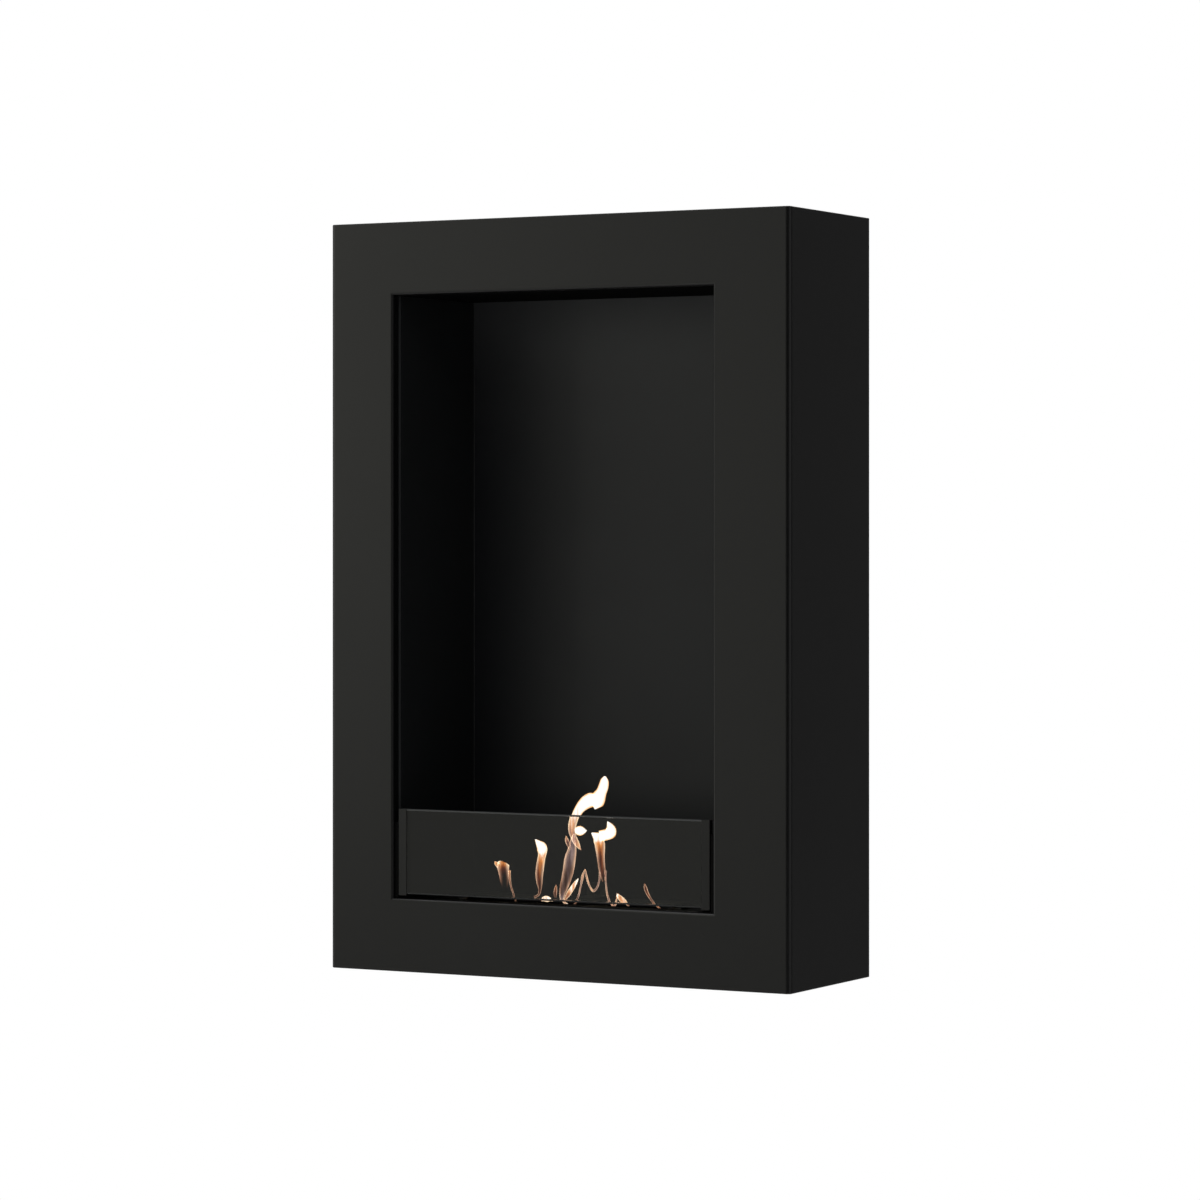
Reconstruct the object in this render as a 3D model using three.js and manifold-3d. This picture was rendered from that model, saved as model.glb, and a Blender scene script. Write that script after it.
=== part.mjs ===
// Wall-hung bioethanol fireplace: a flat steel box with a tall open firebox, a low glass screen
// across its foot, a lift-out burner with a sliding lid, and the rail that it hangs on.
// Millimetres. X runs right, Y from the front face to the wall, Z up. The origin is the middle of
// the footprint at the lowest level. behind(d) is the place d millimetres behind the front face.

import * as THREE from 'three';
import { mergeVertices } from 'three/addons/utils/BufferGeometryUtils.js';
import Module from 'manifold-3d';

const wasm = await Module();
wasm.setup();

// ---- Driving dimensions ----

// Clearances
const seatGap = 0.3; // between two pieces that lie against each other
const runningGap = 0.5; // beside and over a sliding piece
const holeGap = 0.3; // round a screw's shank

// Outer shell
const width = 550;
const height = 800;
const depth = 190;
const shellSheet = 1.5;
const cornerRadius = 5.5; // outside of the upright front bends
const sideBorder = 83; // the face beside the opening, on the mean of both sides
const openingShift = -5; // of the opening and all that it holds from the middle of the face
const topBorder = 78;
const openingSill = 78; // level of the opening's lower edge
const lipDepth = 14; // the sheet turned in round the opening
const lipFlange = 12; // the lip's rear edge turned outward
const rearFlange = 14; // the shell's rear edge turned inward
const rearFlangeInset = 4; // from the wall to the rear flange

// Back panel
const panelSheet = 1;
const panelRecess = 16.5; // from the wall to the front of the panel's web
const ventCount = 9;
const ventLength = 34;
const ventHeight = 4;
const ventPitch = 46;
const ventDrop = 40; // from the top of the casing to the vents

// Firebox
const linerSheet = 1.5;
const fireboxGap = 2; // from the firebox's back sheet to the back panel
const linerFlange = 12;
const linerSkirt = 34; // the side sheets' reach below the sill
const deckDrop = 4; // from the sill down to the deck
const deckFlange = 12;
const deckSupportWidth = 20;
const deckSupportHeight = 18;
const deckSupportInset = 16; // from each end of the deck to the support

// Burner
const burnerSheet = 1.5;
const burnerPlate = 2;
const burnerSetback = 30; // from the front face to the burner's top plate
const burnerSideGap = 32; // from the firebox's side to the top plate
const burnerDepth = 106;
const burnerFlange = 10; // the top plate's overhang past the tank
const tankHeight = 60;
const cutoutGap = 1; // round the tank in the deck
const slotEndMargin = 50; // from the top plate's end to the slot
const slotWidth = 26;
const slotSetback = 19; // from the top plate's front edge to the slot
const slotCollar = 8; // depth of the edge turned down round the slot
const woolSideGap = 1;
const woolHeight = 48;

// Sliding lid
const lidSheet = 2;
const lidOverlap = 4; // over the slot's edge when the lid is shut
const lidSideOverlap = 13; // past each end of the slot
const lidParkGap = 2; // from the slot to the open lid
const guideSheet = 1.5;
const guideHook = 4; // over the lid's end
const guideFoot = 9;
const guideReach = 3; // of the guides past the lid, at each end of its run
const pullWidth = 24;
const pullHeight = 16;
const pullHole = 9;
const pullInset = 4; // from the lid's rear edge

// Spill tray
const traySheet = 1;
const trayMargin = 14; // past the tank on each side
const trayHeight = 18;

// Glass screen
const glassThickness = 4;
const glassHeight = 91;
const glassSetback = 5;
const glassRaise = 4.5; // from the sill to the glass
const screenSideGap = 5; // from the opening's edge to the end caps
const capSheet = 1;
const capWidth = 10;
const tongueReach = 3;
const tongueThickness = 2;
const tongueHeight = 70;
const guideBase = 1.2;
const guideFin = 1.3;
const guideTop = 6; // of the screen's guides past the tongue

// Hanging
const railSheet = 2;
const railLength = 320;
const railDrop = 110; // from the casing's top to the level where the rail steps off the wall
const railFoot = 42;
const railLip = 16;
const railStandoff = 10; // from the wall to the rail's lip
const hangerSheet = 2;
const hangerLength = 360;
const hangerPlate = 30;
const hangerScrewCount = 4;
const hangerScrewPitch = 96;
const hookClearance = 1; // between the two lips
const hookRoot = 2; // from the hanger's lip down to the rail's step
const wallHoleInset = 40; // from the rail's end to the middle of its slot
const wallHoleLength = 14;
const spacerDiameter = 20;
const spacerLevel = 45;
const spacerInset = 75; // from the casing's side

// Screws
const smallScrew = { head: 7, headHeight: 1.8, shank: 4, length: 5, socket: 2.5 };
const wallScrew = { head: 12, headHeight: 3.4, shank: 6, socket: 5 };
const socketDepth = 1;
const panelScrewInset = 60; // from the top and the bottom to the outer screws
const linerScrewInset = 40; // from the opening's top and bottom to the outer screws

// ---- Derived places ----

const behind = (distance) => distance - depth / 2;
const openingTop = height - topBorder;
const openingSide = width / 2 - sideBorder;
const panelSetback = depth - panelRecess;
const fireboxDepth = panelSetback - fireboxGap - linerSheet;
const deckTop = openingSill - deckDrop;
const lipBack = lipDepth + seatGap;
const linerOuter = openingSide + linerSheet;
const linerFlangeEdge = linerOuter + linerFlange;
const burnerLength = 2 * (openingSide - burnerSideGap);
const tankFront = burnerSetback + burnerFlange;
const tankDepth = burnerDepth - 2 * burnerFlange;
const tankLength = burnerLength - 2 * burnerFlange;
const tankBottom = deckTop - tankHeight;
const plateBottom = deckTop + seatGap;
const plateTop = plateBottom + burnerPlate;
const slotLength = burnerLength - 2 * slotEndMargin;
const slotFront = burnerSetback + slotSetback;
const slotBack = slotFront + slotWidth;
const lidBottom = plateTop + seatGap;
const lidDepth = slotWidth + 2 * lidOverlap;
const lidLength = slotLength + 2 * lidSideOverlap;
const lidFront = slotBack + lidParkGap;
const lidTravel = lidFront - slotFront + lidOverlap;
const glassBottom = openingSill + glassRaise;
const glassTop = glassBottom + glassHeight;
const capFront = glassSetback - seatGap - capSheet;
const capBack = glassSetback + glassThickness + seatGap + capSheet;
const capOuter = openingSide - screenSideGap;
const tongueBottom = glassBottom + runningGap;
const wallHolePitch = railLength - 2 * wallHoleInset;
const spacerPitch = width - 2 * spacerInset;
const railLevel = height - railDrop;
const railLipBack = depth - railStandoff;
const railLipTop = railLevel + railLip;
const hangerStep = railLipTop + seatGap;
const hangerFront = panelSetback + panelSheet + seatGap;
const hangerLipFront = railLipBack + hookClearance;

// ---- Materials ----

const finish = (color, roughness, metalness) =>
  () => new THREE.MeshStandardMaterial({ color, roughness, metalness });
const powderCoat = finish(0x1b1b1b, 0.42, 0.0);
const stovePaint = finish(0x141414, 0.55, 0.0);
const stainless = finish(0xb4b4b0, 0.32, 1.0);
const zincPlate = finish(0xa8aaab, 0.4, 1.0);
const blackScrew = finish(0x202020, 0.4, 0.6);
const tintedGlass = finish(0x1a1b1b, 0.05, 0.0);
const ceramicWool = finish(0xe8e4da, 0.95, 0.0);
const rubber = finish(0x161616, 0.85, 0.0);

// ---- Solids ----

const solidOf = (geometry) => {
  const bare = geometry.clone();
  bare.deleteAttribute('normal');
  bare.deleteAttribute('uv');
  const merged = mergeVertices(bare, 1e-4);
  const vertProperties = new Float32Array(merged.attributes.position.array);
  const triVerts = new Uint32Array(merged.index.array);
  return new wasm.Manifold(new wasm.Mesh({ numProp: 3, vertProperties, triVerts }));
};

const box = ([x0, x1], [y0, y1], [z0, z1]) => {
  const geometry = new THREE.BoxGeometry(x1 - x0, y1 - y0, z1 - z0);
  geometry.translate((x0 + x1) / 2, (y0 + y1) / 2, (z0 + z1) / 2);
  return solidOf(geometry);
};

const both = (half) => [-half, half];
const from = (start, length) => [start, start + length];
const span = (start, end) => [behind(start), behind(end)];

// A round bar or hole along Y.
const bar = (diameter, x, [y0, y1], z) => {
  const geometry = new THREE.CylinderGeometry(diameter / 2, diameter / 2, y1 - y0, 20);
  geometry.translate(x, (y0 + y1) / 2, z);
  return solidOf(geometry);
};

const join = (...solids) => solids.reduce((sum, solid) => sum.add(solid));
const cut = (solid, ...tools) => tools.reduce((rest, tool) => rest.subtract(tool), solid);

const geometryOf = (solid) => {
  const mesh = solid.getMesh();
  const geometry = new THREE.BufferGeometry();
  geometry.setAttribute('position', new THREE.BufferAttribute(mesh.vertProperties, 3));
  geometry.setIndex(new THREE.BufferAttribute(mesh.triVerts, 1));
  const shaded = geometry.toNonIndexed();
  shaded.computeVertexNormals();
  return shaded;
};

const piece = (group, name, material, solid, place = [0, 0, 0]) => {
  const mesh = new THREE.Mesh(geometryOf(solid), material());
  mesh.name = name;
  mesh.position.set(...place);
  group.add(mesh);
  return mesh;
};

const sides = [
  { name: 'left', sign: -1 },
  { name: 'right', sign: 1 },
];

// A piece drawn for the right side, as its mirror image for the left one.
const handed = (solid, sign) => (sign > 0 ? solid : solid.mirror([1, 0, 0]));

// A socket screw along Y with its seat, the underside of the head, at the origin.
const screw = ({ head, headHeight, shank, socket }, length) => {
  const profile = [
    [0, -length],
    [shank / 2, -length],
    [shank / 2, 0],
    [head / 2, 0],
    [head / 2, headHeight * 0.55],
    [head * 0.36, headHeight],
    [0, headHeight],
  ].map(([radius, y]) => new THREE.Vector2(radius, y));
  const body = solidOf(new THREE.LatheGeometry(profile, 12));
  const recess = new THREE.CylinderGeometry(socket / 2, socket / 2, 2 * socketDepth, 6);
  recess.translate(0, headHeight, 0);
  return cut(body, solidOf(recess));
};

// Screw places
const panelScrewX = width / 2 - shellSheet - rearFlange / 2;
const panelScrewSeat = depth - rearFlangeInset + panelSheet + 2 * seatGap;
const panelScrewLevels = [panelScrewInset, height / 2, height - panelScrewInset];
const linerScrewX = linerOuter + linerFlange / 2;
const linerScrewSeat = lipBack + linerSheet + seatGap;
const linerScrewLevels = [
  openingSill + linerScrewInset,
  (openingSill + openingTop) / 2,
  openingTop - linerScrewInset,
];
const hangerScrewX = Array.from(
  { length: hangerScrewCount },
  (_, index) => (index - (hangerScrewCount - 1) / 2) * hangerScrewPitch,
);
const hangerScrewLevel = hangerStep + hangerSheet + hangerPlate / 2;
const shankHole = smallScrew.shank + 2 * holeGap;

// ---- Outer shell ----

// Plan of the casing at a distance inside its outer face, from rear left round the front.
const planPath = (inset) => {
  const side = width / 2 - inset;
  const front = behind(inset);
  const radius = Math.max(cornerRadius - inset, 0.1);
  const path = new THREE.Path();
  path.moveTo(-side, behind(depth));
  path.lineTo(-side, front + radius);
  path.absarc(-side + radius, front + radius, radius, Math.PI, 1.5 * Math.PI);
  path.lineTo(side - radius, front);
  path.absarc(side - radius, front + radius, radius, -Math.PI / 2, 0);
  path.lineTo(side, behind(depth));
  return path.getPoints(8);
};

const extrudePlan = (points, [z0, z1]) => {
  const geometry = new THREE.ExtrudeGeometry(new THREE.Shape(points), {
    depth: z1 - z0,
    bevelEnabled: false,
  });
  geometry.translate(0, 0, z0);
  return solidOf(geometry);
};

const makeShell = () => {
  const outside = planPath(0);
  const inside = planPath(shellSheet);
  const wrap = extrudePlan([...outside, ...inside.reverse()], [0, height]);
  const bottom = extrudePlan(outside, [0, shellSheet]);
  const top = extrudePlan(outside, [height - shellSheet, height]);
  const innerX = both(width / 2 - shellSheet / 2);
  const innerZ = [shellSheet / 2, height - shellSheet / 2];
  const flangeBack = depth - rearFlangeInset;
  const rearRing = cut(
    box(innerX, span(flangeBack - shellSheet, flangeBack), innerZ),
    box(
      both(width / 2 - shellSheet - rearFlange),
      span(flangeBack - 2 * shellSheet, depth),
      [shellSheet + rearFlange, height - shellSheet - rearFlange],
    ),
  );
  const lipOuter = openingSide + shellSheet;
  const acrossOpening = (half) => [openingShift - half, openingShift + half];
  const lip = box(
    acrossOpening(lipOuter),
    span(shellSheet / 2, lipDepth),
    [openingSill - shellSheet, openingTop + shellSheet],
  );
  const lipRing = box(
    acrossOpening(lipOuter + lipFlange),
    span(lipDepth - shellSheet, lipDepth),
    [openingSill - shellSheet - lipFlange, openingTop + shellSheet + lipFlange],
  );
  const windowRun = span(-shellSheet, 2 * lipDepth);
  const window = box(acrossOpening(openingSide), windowRun, [openingSill, openingTop]);
  const holes = [];
  for (const { sign } of sides) {
    for (const level of linerScrewLevels) {
      const run = span(lipDepth - 2 * shellSheet, lipDepth + shellSheet);
      holes.push(bar(shankHole, openingShift + sign * linerScrewX, run, level));
    }
    for (const level of panelScrewLevels) {
      const run = span(flangeBack - 2 * shellSheet, depth);
      holes.push(bar(shankHole, sign * panelScrewX, run, level));
    }
  }
  return cut(join(wrap, bottom, top, rearRing, lip, lipRing), window, ...holes);
};

// ---- Back panel and hanging ----

const makeBackPanel = () => {
  const wallX = width / 2 - shellSheet - rearFlange - runningGap;
  const wallZ = [shellSheet + rearFlange + runningGap, height - shellSheet - rearFlange - runningGap];
  const flangeFront = depth - rearFlangeInset + seatGap;
  const flangeEdge = rearFlange - runningGap;
  const pan = cut(
    box(both(wallX), span(panelSetback, flangeFront + panelSheet), wallZ),
    box(
      both(wallX - panelSheet),
      span(panelSetback + panelSheet, depth),
      [wallZ[0] + panelSheet, wallZ[1] - panelSheet],
    ),
  );
  const flange = cut(
    box(
      both(wallX + flangeEdge),
      span(flangeFront, flangeFront + panelSheet),
      [wallZ[0] - flangeEdge, wallZ[1] + flangeEdge],
    ),
    box(
      both(wallX - panelSheet),
      span(panelSetback, depth),
      [wallZ[0] + panelSheet, wallZ[1] - panelSheet],
    ),
  );
  const holes = [];
  for (const { sign } of sides) {
    for (const level of panelScrewLevels) {
      holes.push(bar(shankHole, sign * panelScrewX, span(flangeFront - panelSheet, depth), level));
    }
  }
  const webRun = span(panelSetback - panelSheet, panelSetback + 2 * panelSheet);
  for (const x of hangerScrewX) {
    holes.push(bar(shankHole, x, webRun, hangerScrewLevel));
  }
  for (let index = 0; index < ventCount; index += 1) {
    const middle = (index - (ventCount - 1) / 2) * ventPitch;
    const level = height - ventDrop;
    holes.push(
      box(
        [middle - ventLength / 2, middle + ventLength / 2],
        webRun,
        [level - ventHeight / 2, level + ventHeight / 2],
      ),
    );
  }
  return cut(join(pan, flange), ...holes);
};

const makeHanger = () => {
  const run = both(hangerLength / 2);
  const plateZ = [hangerStep, hangerStep + hangerSheet + hangerPlate];
  const plate = box(run, span(hangerFront, hangerFront + hangerSheet), plateZ);
  const lipBackFace = hangerLipFront + hangerSheet;
  const step = box(run, span(hangerFront, lipBackFace), from(hangerStep, hangerSheet));
  const lip = box(run, span(hangerLipFront, lipBackFace), [railLevel + hookRoot, hangerStep + hangerSheet]);
  const holes = hangerScrewX.map((x) =>
    bar(shankHole, x, span(hangerFront - hangerSheet, hangerFront + 2 * hangerSheet), hangerScrewLevel),
  );
  return cut(join(plate, step, lip), ...holes);
};

const makeRail = () => {
  const run = both(railLength / 2);
  const lipFront = railLipBack - railSheet;
  const foot = box(run, span(depth - railSheet, depth), [railLevel - railFoot, railLevel]);
  const step = box(run, span(lipFront, depth), [railLevel - railSheet, railLevel]);
  const lip = box(run, span(lipFront, railLipBack), [railLevel - railSheet, railLipTop]);
  const holeRun = span(depth - 2 * railSheet, depth + railSheet);
  const slotHole = wallScrew.shank + 2 * holeGap;
  const slots = sides.flatMap(({ sign }) => {
    const middle = (sign * wallHolePitch) / 2;
    const halfStraight = (wallHoleLength - slotHole) / 2;
    const level = railLevel - railFoot / 2;
    return [
      box(
        [middle - halfStraight, middle + halfStraight],
        holeRun,
        [level - slotHole / 2, level + slotHole / 2],
      ),
      bar(slotHole, middle - halfStraight, holeRun, level),
      bar(slotHole, middle + halfStraight, holeRun, level),
    ];
  });
  return cut(join(foot, step, lip), ...slots);
};

// ---- Firebox ----

const makeFireboxSide = () => {
  const levels = [openingSill - linerSkirt, openingTop - seatGap];
  const wall = box([openingSide, linerOuter], span(lipBack, fireboxDepth - seatGap), levels);
  const flangeX = [openingSide, linerFlangeEdge];
  const front = box(flangeX, span(lipBack, lipBack + linerSheet), levels);
  const backRun = span(fireboxDepth - seatGap - linerSheet, fireboxDepth - seatGap);
  const back = box(flangeX, backRun, levels);
  const holes = linerScrewLevels.map((level) =>
    bar(shankHole, linerScrewX, span(lipDepth, lipDepth + 3 * linerSheet), level),
  );
  return cut(join(wall, front, back), ...holes);
};

const makeFireboxBack = () =>
  box(
    both(linerFlangeEdge),
    span(fireboxDepth, fireboxDepth + linerSheet),
    [openingSill - linerSkirt, openingTop + linerSheet + linerFlange],
  );

const makeFireboxTop = () => {
  const run = both(linerOuter);
  const levels = [openingTop, openingTop + linerSheet + linerFlange];
  const backFace = fireboxDepth - seatGap;
  const ceiling = box(run, span(lipBack, backFace), from(openingTop, linerSheet));
  const front = box(run, span(lipBack, lipBack + linerSheet), levels);
  const back = box(run, span(backFace - linerSheet, backFace), levels);
  return join(ceiling, front, back);
};

const deckEdge = openingSide - seatGap;

const makeDeck = () => {
  const run = both(deckEdge);
  const backFace = fireboxDepth - seatGap;
  const plate = box(run, span(lipBack, backFace), [deckTop - linerSheet, deckTop]);
  const levels = [deckTop - linerSheet - deckFlange, deckTop];
  const front = box(run, span(lipBack, lipBack + linerSheet), levels);
  const back = box(run, span(backFace - linerSheet, backFace), levels);
  const cutout = box(
    both(tankLength / 2 + cutoutGap),
    span(tankFront - cutoutGap, tankFront + tankDepth + cutoutGap),
    [deckTop - 2 * linerSheet, deckTop + linerSheet],
  );
  return cut(join(plate, front, back), cutout);
};

const makeDeckSupport = () => {
  const top = deckTop - linerSheet - seatGap;
  const run = span(lipBack + deckSupportInset, fireboxDepth - deckSupportInset);
  const leg = box([deckEdge - linerSheet, deckEdge], run, [top - deckSupportHeight, top]);
  const shelf = box([deckEdge - deckSupportWidth, deckEdge], run, [top - linerSheet, top]);
  return join(leg, shelf);
};

const makeSpillTray = () => {
  const bottom = shellSheet + seatGap;
  const half = tankLength / 2 + trayMargin;
  const front = tankFront - trayMargin;
  const back = tankFront + tankDepth + trayMargin;
  return cut(
    box(both(half), span(front, back), from(bottom, trayHeight)),
    box(
      both(half - traySheet),
      span(front + traySheet, back - traySheet),
      from(bottom + traySheet, trayHeight),
    ),
  );
};

// ---- Glass screen and its guides ----

const tongueFront = glassSetback + (glassThickness - tongueThickness) / 2;
const tongueBack = tongueFront + tongueThickness;

const makeScreenGlass = () =>
  box(
    both(capOuter - capSheet - seatGap),
    span(glassSetback, glassSetback + glassThickness),
    [glassBottom, glassTop],
  );

const makeScreenEnd = () => {
  const floor = glassBottom - seatGap - capSheet;
  const sleeve = cut(
    box([capOuter - capWidth, capOuter], span(capFront, capBack), [floor, glassTop]),
    box(
      [capOuter - 2 * capWidth, capOuter - capSheet],
      span(capFront + capSheet, capBack - capSheet),
      [floor + capSheet, glassTop + capSheet],
    ),
  );
  const tongue = box(
    [capOuter - capSheet / 2, capOuter + tongueReach],
    span(tongueFront, tongueBack),
    from(tongueBottom, tongueHeight),
  );
  return join(sleeve, tongue);
};

const makeScreenGuide = () => {
  const outer = openingSide - seatGap;
  const finTip = capOuter + runningGap;
  const floor = openingSill + seatGap;
  const ceiling = tongueBottom + tongueHeight + guideTop;
  const front = tongueFront - seatGap - guideFin;
  const back = tongueBack + seatGap + guideFin;
  return cut(
    box([finTip, outer], span(front, back), [floor, ceiling]),
    box(
      [finTip - guideBase, outer - guideBase],
      span(front + guideFin, back - guideFin),
      [tongueBottom - seatGap, ceiling + guideFin],
    ),
  );
};

// ---- Burner and lid ----

const makeTank = () =>
  cut(
    box(both(tankLength / 2), span(tankFront, tankFront + tankDepth), [tankBottom, deckTop]),
    box(
      both(tankLength / 2 - burnerSheet),
      span(tankFront + burnerSheet, tankFront + tankDepth - burnerSheet),
      [tankBottom + burnerSheet, deckTop + burnerSheet],
    ),
  );

const makeBurnerTop = () => {
  const plate = box(
    both(burnerLength / 2),
    span(burnerSetback, burnerSetback + burnerDepth),
    [plateBottom, plateTop],
  );
  const collar = box(
    both(slotLength / 2 + burnerSheet),
    span(slotFront - burnerSheet, slotBack + burnerSheet),
    [plateTop - slotCollar, plateTop],
  );
  const slot = box(both(slotLength / 2), span(slotFront, slotBack), [deckTop - slotCollar, 2 * plateTop]);
  return cut(join(plate, collar), slot);
};

const makeWool = () => {
  const inset = burnerSheet + woolSideGap;
  return box(
    both(tankLength / 2 - inset),
    span(tankFront + inset, tankFront + tankDepth - inset),
    from(tankBottom + burnerSheet + seatGap, woolHeight),
  );
};

const makeLidGuide = () => {
  const inner = lidLength / 2 + runningGap;
  const outer = inner + guideSheet;
  const hookBottom = lidBottom + lidSheet + runningGap;
  const run = span(slotFront - lidOverlap - guideReach, lidFront + lidDepth + guideReach);
  const web = box([inner, outer], run, [lidBottom, hookBottom + guideSheet]);
  const hook = box([lidLength / 2 - guideHook, outer], run, from(hookBottom, guideSheet));
  const foot = box([inner, outer + guideFoot], run, from(lidBottom, guideSheet));
  return join(web, hook, foot);
};

const makeLid = () =>
  box(both(lidLength / 2), span(lidFront, lidFront + lidDepth), from(lidBottom, lidSheet));

const makePull = () => {
  const back = lidFront + lidDepth - pullInset;
  const bottom = lidBottom + lidSheet + seatGap;
  const foot = box(
    both(pullWidth / 2),
    span(lidFront + pullInset, back),
    from(bottom, lidSheet),
  );
  const tab = box(both(pullWidth / 2), span(back - lidSheet, back), from(bottom, pullHeight));
  const eye = bar(pullHole, 0, span(back - 2 * lidSheet, back + lidSheet), bottom + pullHeight - pullHole);
  return cut(join(foot, tab), eye);
};

// ---- Assembly ----

const fireplace = new THREE.Group();

const wallGroup = new THREE.Group();
piece(wallGroup, 'wall_rail', zincPlate, makeRail());
for (const { name, sign } of sides) {
  const seat = depth - railSheet - seatGap;
  const place = [(sign * wallHolePitch) / 2, behind(seat), railLevel - railFoot / 2];
  const mesh = piece(wallGroup, `wall_screw_${name}`, zincPlate, screw(wallScrew, depth - seat), place);
  mesh.rotation.x = Math.PI;
}

const casing = new THREE.Group();
const firebox = new THREE.Group();
firebox.position.x = openingShift;
piece(casing, 'outer_shell', powderCoat, makeShell());
piece(casing, 'back_panel', zincPlate, makeBackPanel());
piece(casing, 'hanger_bar', zincPlate, makeHanger());
hangerScrewX.forEach((x, index) => {
  const seat = hangerFront + hangerSheet + seatGap;
  const shank = seat - panelSetback;
  const place = [x, behind(seat), hangerScrewLevel];
  piece(casing, `hanger_screw_${index + 1}`, zincPlate, screw(smallScrew, shank), place);
});
let panelScrewNumber = 0;
let linerScrewNumber = 0;
for (const { sign } of sides) {
  for (const level of panelScrewLevels) {
    panelScrewNumber += 1;
    const place = [sign * panelScrewX, behind(panelScrewSeat), level];
    const solid = screw(smallScrew, smallScrew.length);
    piece(casing, `panel_screw_${panelScrewNumber}`, blackScrew, solid, place);
  }
  for (const level of linerScrewLevels) {
    linerScrewNumber += 1;
    const place = [sign * linerScrewX, behind(linerScrewSeat), level];
    const solid = screw(smallScrew, smallScrew.length);
    piece(firebox, `liner_screw_${linerScrewNumber}`, blackScrew, solid, place);
  }
}
piece(firebox, 'firebox_back', stovePaint, makeFireboxBack());
piece(firebox, 'firebox_top', stovePaint, makeFireboxTop());
piece(firebox, 'burner_deck', stovePaint, makeDeck());
piece(firebox, 'spill_tray', zincPlate, makeSpillTray());
const spacerFront = panelSetback + panelSheet + seatGap;
for (const { name, sign } of sides) {
  piece(firebox, `firebox_${name}`, stovePaint, handed(makeFireboxSide(), sign));
  piece(firebox, `deck_support_${name}`, stovePaint, handed(makeDeckSupport(), sign));
  piece(firebox, `screen_guide_${name}`, rubber, handed(makeScreenGuide(), sign));
  const spacer = bar(spacerDiameter, 0, [0, depth - spacerFront], 0);
  const place = [(sign * spacerPitch) / 2, behind(spacerFront), spacerLevel];
  piece(casing, `wall_spacer_${name}`, rubber, spacer, place);
}

const screen = new THREE.Group();
piece(screen, 'screen_glass', tintedGlass, makeScreenGlass());
for (const { name, sign } of sides) {
  piece(screen, `screen_end_${name}`, powderCoat, handed(makeScreenEnd(), sign));
}

const burner = new THREE.Group();
piece(burner, 'burner_tank', stainless, makeTank());
piece(burner, 'burner_top', stainless, makeBurnerTop());
piece(burner, 'burner_wool', ceramicWool, makeWool());
for (const { name, sign } of sides) {
  piece(burner, `lid_guide_${name}`, stainless, handed(makeLidGuide(), sign));
}

const lid = new THREE.Group();
piece(lid, 'slide_lid', stainless, makeLid());
piece(lid, 'lid_pull', stainless, makePull());
burner.add(lid);
firebox.add(screen, burner);
casing.add(firebox);
fireplace.add(wallGroup, casing);

console.log(`lid travel ${lidTravel} mm, deck at ${deckTop} mm, slot ${slotFront} to ${slotBack} mm`);

export default fireplace;
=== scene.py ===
import math

import bmesh
import bpy
import numpy as np
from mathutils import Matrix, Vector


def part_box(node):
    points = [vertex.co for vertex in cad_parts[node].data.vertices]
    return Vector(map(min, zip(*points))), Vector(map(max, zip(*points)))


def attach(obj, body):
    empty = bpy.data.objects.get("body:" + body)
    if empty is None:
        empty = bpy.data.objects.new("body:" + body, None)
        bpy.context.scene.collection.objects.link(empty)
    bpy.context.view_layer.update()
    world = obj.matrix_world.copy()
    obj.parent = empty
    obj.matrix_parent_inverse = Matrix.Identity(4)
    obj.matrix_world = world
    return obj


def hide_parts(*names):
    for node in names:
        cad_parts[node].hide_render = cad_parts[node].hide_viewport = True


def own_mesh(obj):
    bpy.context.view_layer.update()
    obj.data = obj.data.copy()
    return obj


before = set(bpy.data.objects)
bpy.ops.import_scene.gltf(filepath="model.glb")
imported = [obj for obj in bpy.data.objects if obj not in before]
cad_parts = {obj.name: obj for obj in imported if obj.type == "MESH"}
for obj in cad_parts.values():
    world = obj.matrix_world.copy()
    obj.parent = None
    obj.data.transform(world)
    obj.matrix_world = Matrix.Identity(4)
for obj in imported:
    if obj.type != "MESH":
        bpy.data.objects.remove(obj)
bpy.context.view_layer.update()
print("frame loaded with", len(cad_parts), "nodes")

mm = 0.001  # a millimetre in metres
sides = (("Left", -1), ("Right", 1))
modelling = {
    "merge": 2e-6,  # metres below which two points are one
    "flatAngle": 1,  # degrees between two faces below which they are one flat
    "sharpAngle": 30,  # degrees above which an edge isn't shaded smoothly
    "roundAngle": 35,  # degrees above which an edge of a CAD piece is rounded
    "sharpest": 0.05,  # the least radius of a corner
}
# points this far from a rounding keep the flat, the bent sheet or the wall beside it straight
flatMargin, bendMargin, wallMargin = 0.2, 0.25, 0.3

casing = {
    "halfWidth": 275,
    "height": 800,
    "depth": 190,
    "sheet": 1.5,
    "frontBend": 5.5,  # the upright bends beside the face
    "bendSteps": 10,
    "edge": 1,  # ground weld along the top and the bottom
    "innerEdge": 0.1,  # the same on the sheet's inner face
    "openingMiddle": -5,
    "openingSide": 192,  # half the opening's width
    "sill": 78,
    "head": 722,
    "lipBend": 3,
    "lipDepth": 14,
    "flangeEdge": 13.5,  # from the opening's side to the lip's rear flange's edge
    "rearFlange": 14,
    "rearFlangeInset": 4,
    "rearFlangeWeld": 0.3,  # how far the rear flange reaches into the walls
}
middle = casing["openingMiddle"]
# where the flat face ends and the lip's bend begins, from the opening's edge
lipStart = casing["lipBend"] + flatMargin


def behind(distance):
    # place of a point this far behind the front face
    return distance - casing["depth"] / 2


def boxOf(nodeName):
    # low and high corners of a CAD piece, with Y counted from the front face
    return [np.array(corner) / mm + [0, casing["depth"] / 2, 0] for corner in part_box(nodeName)]


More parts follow.
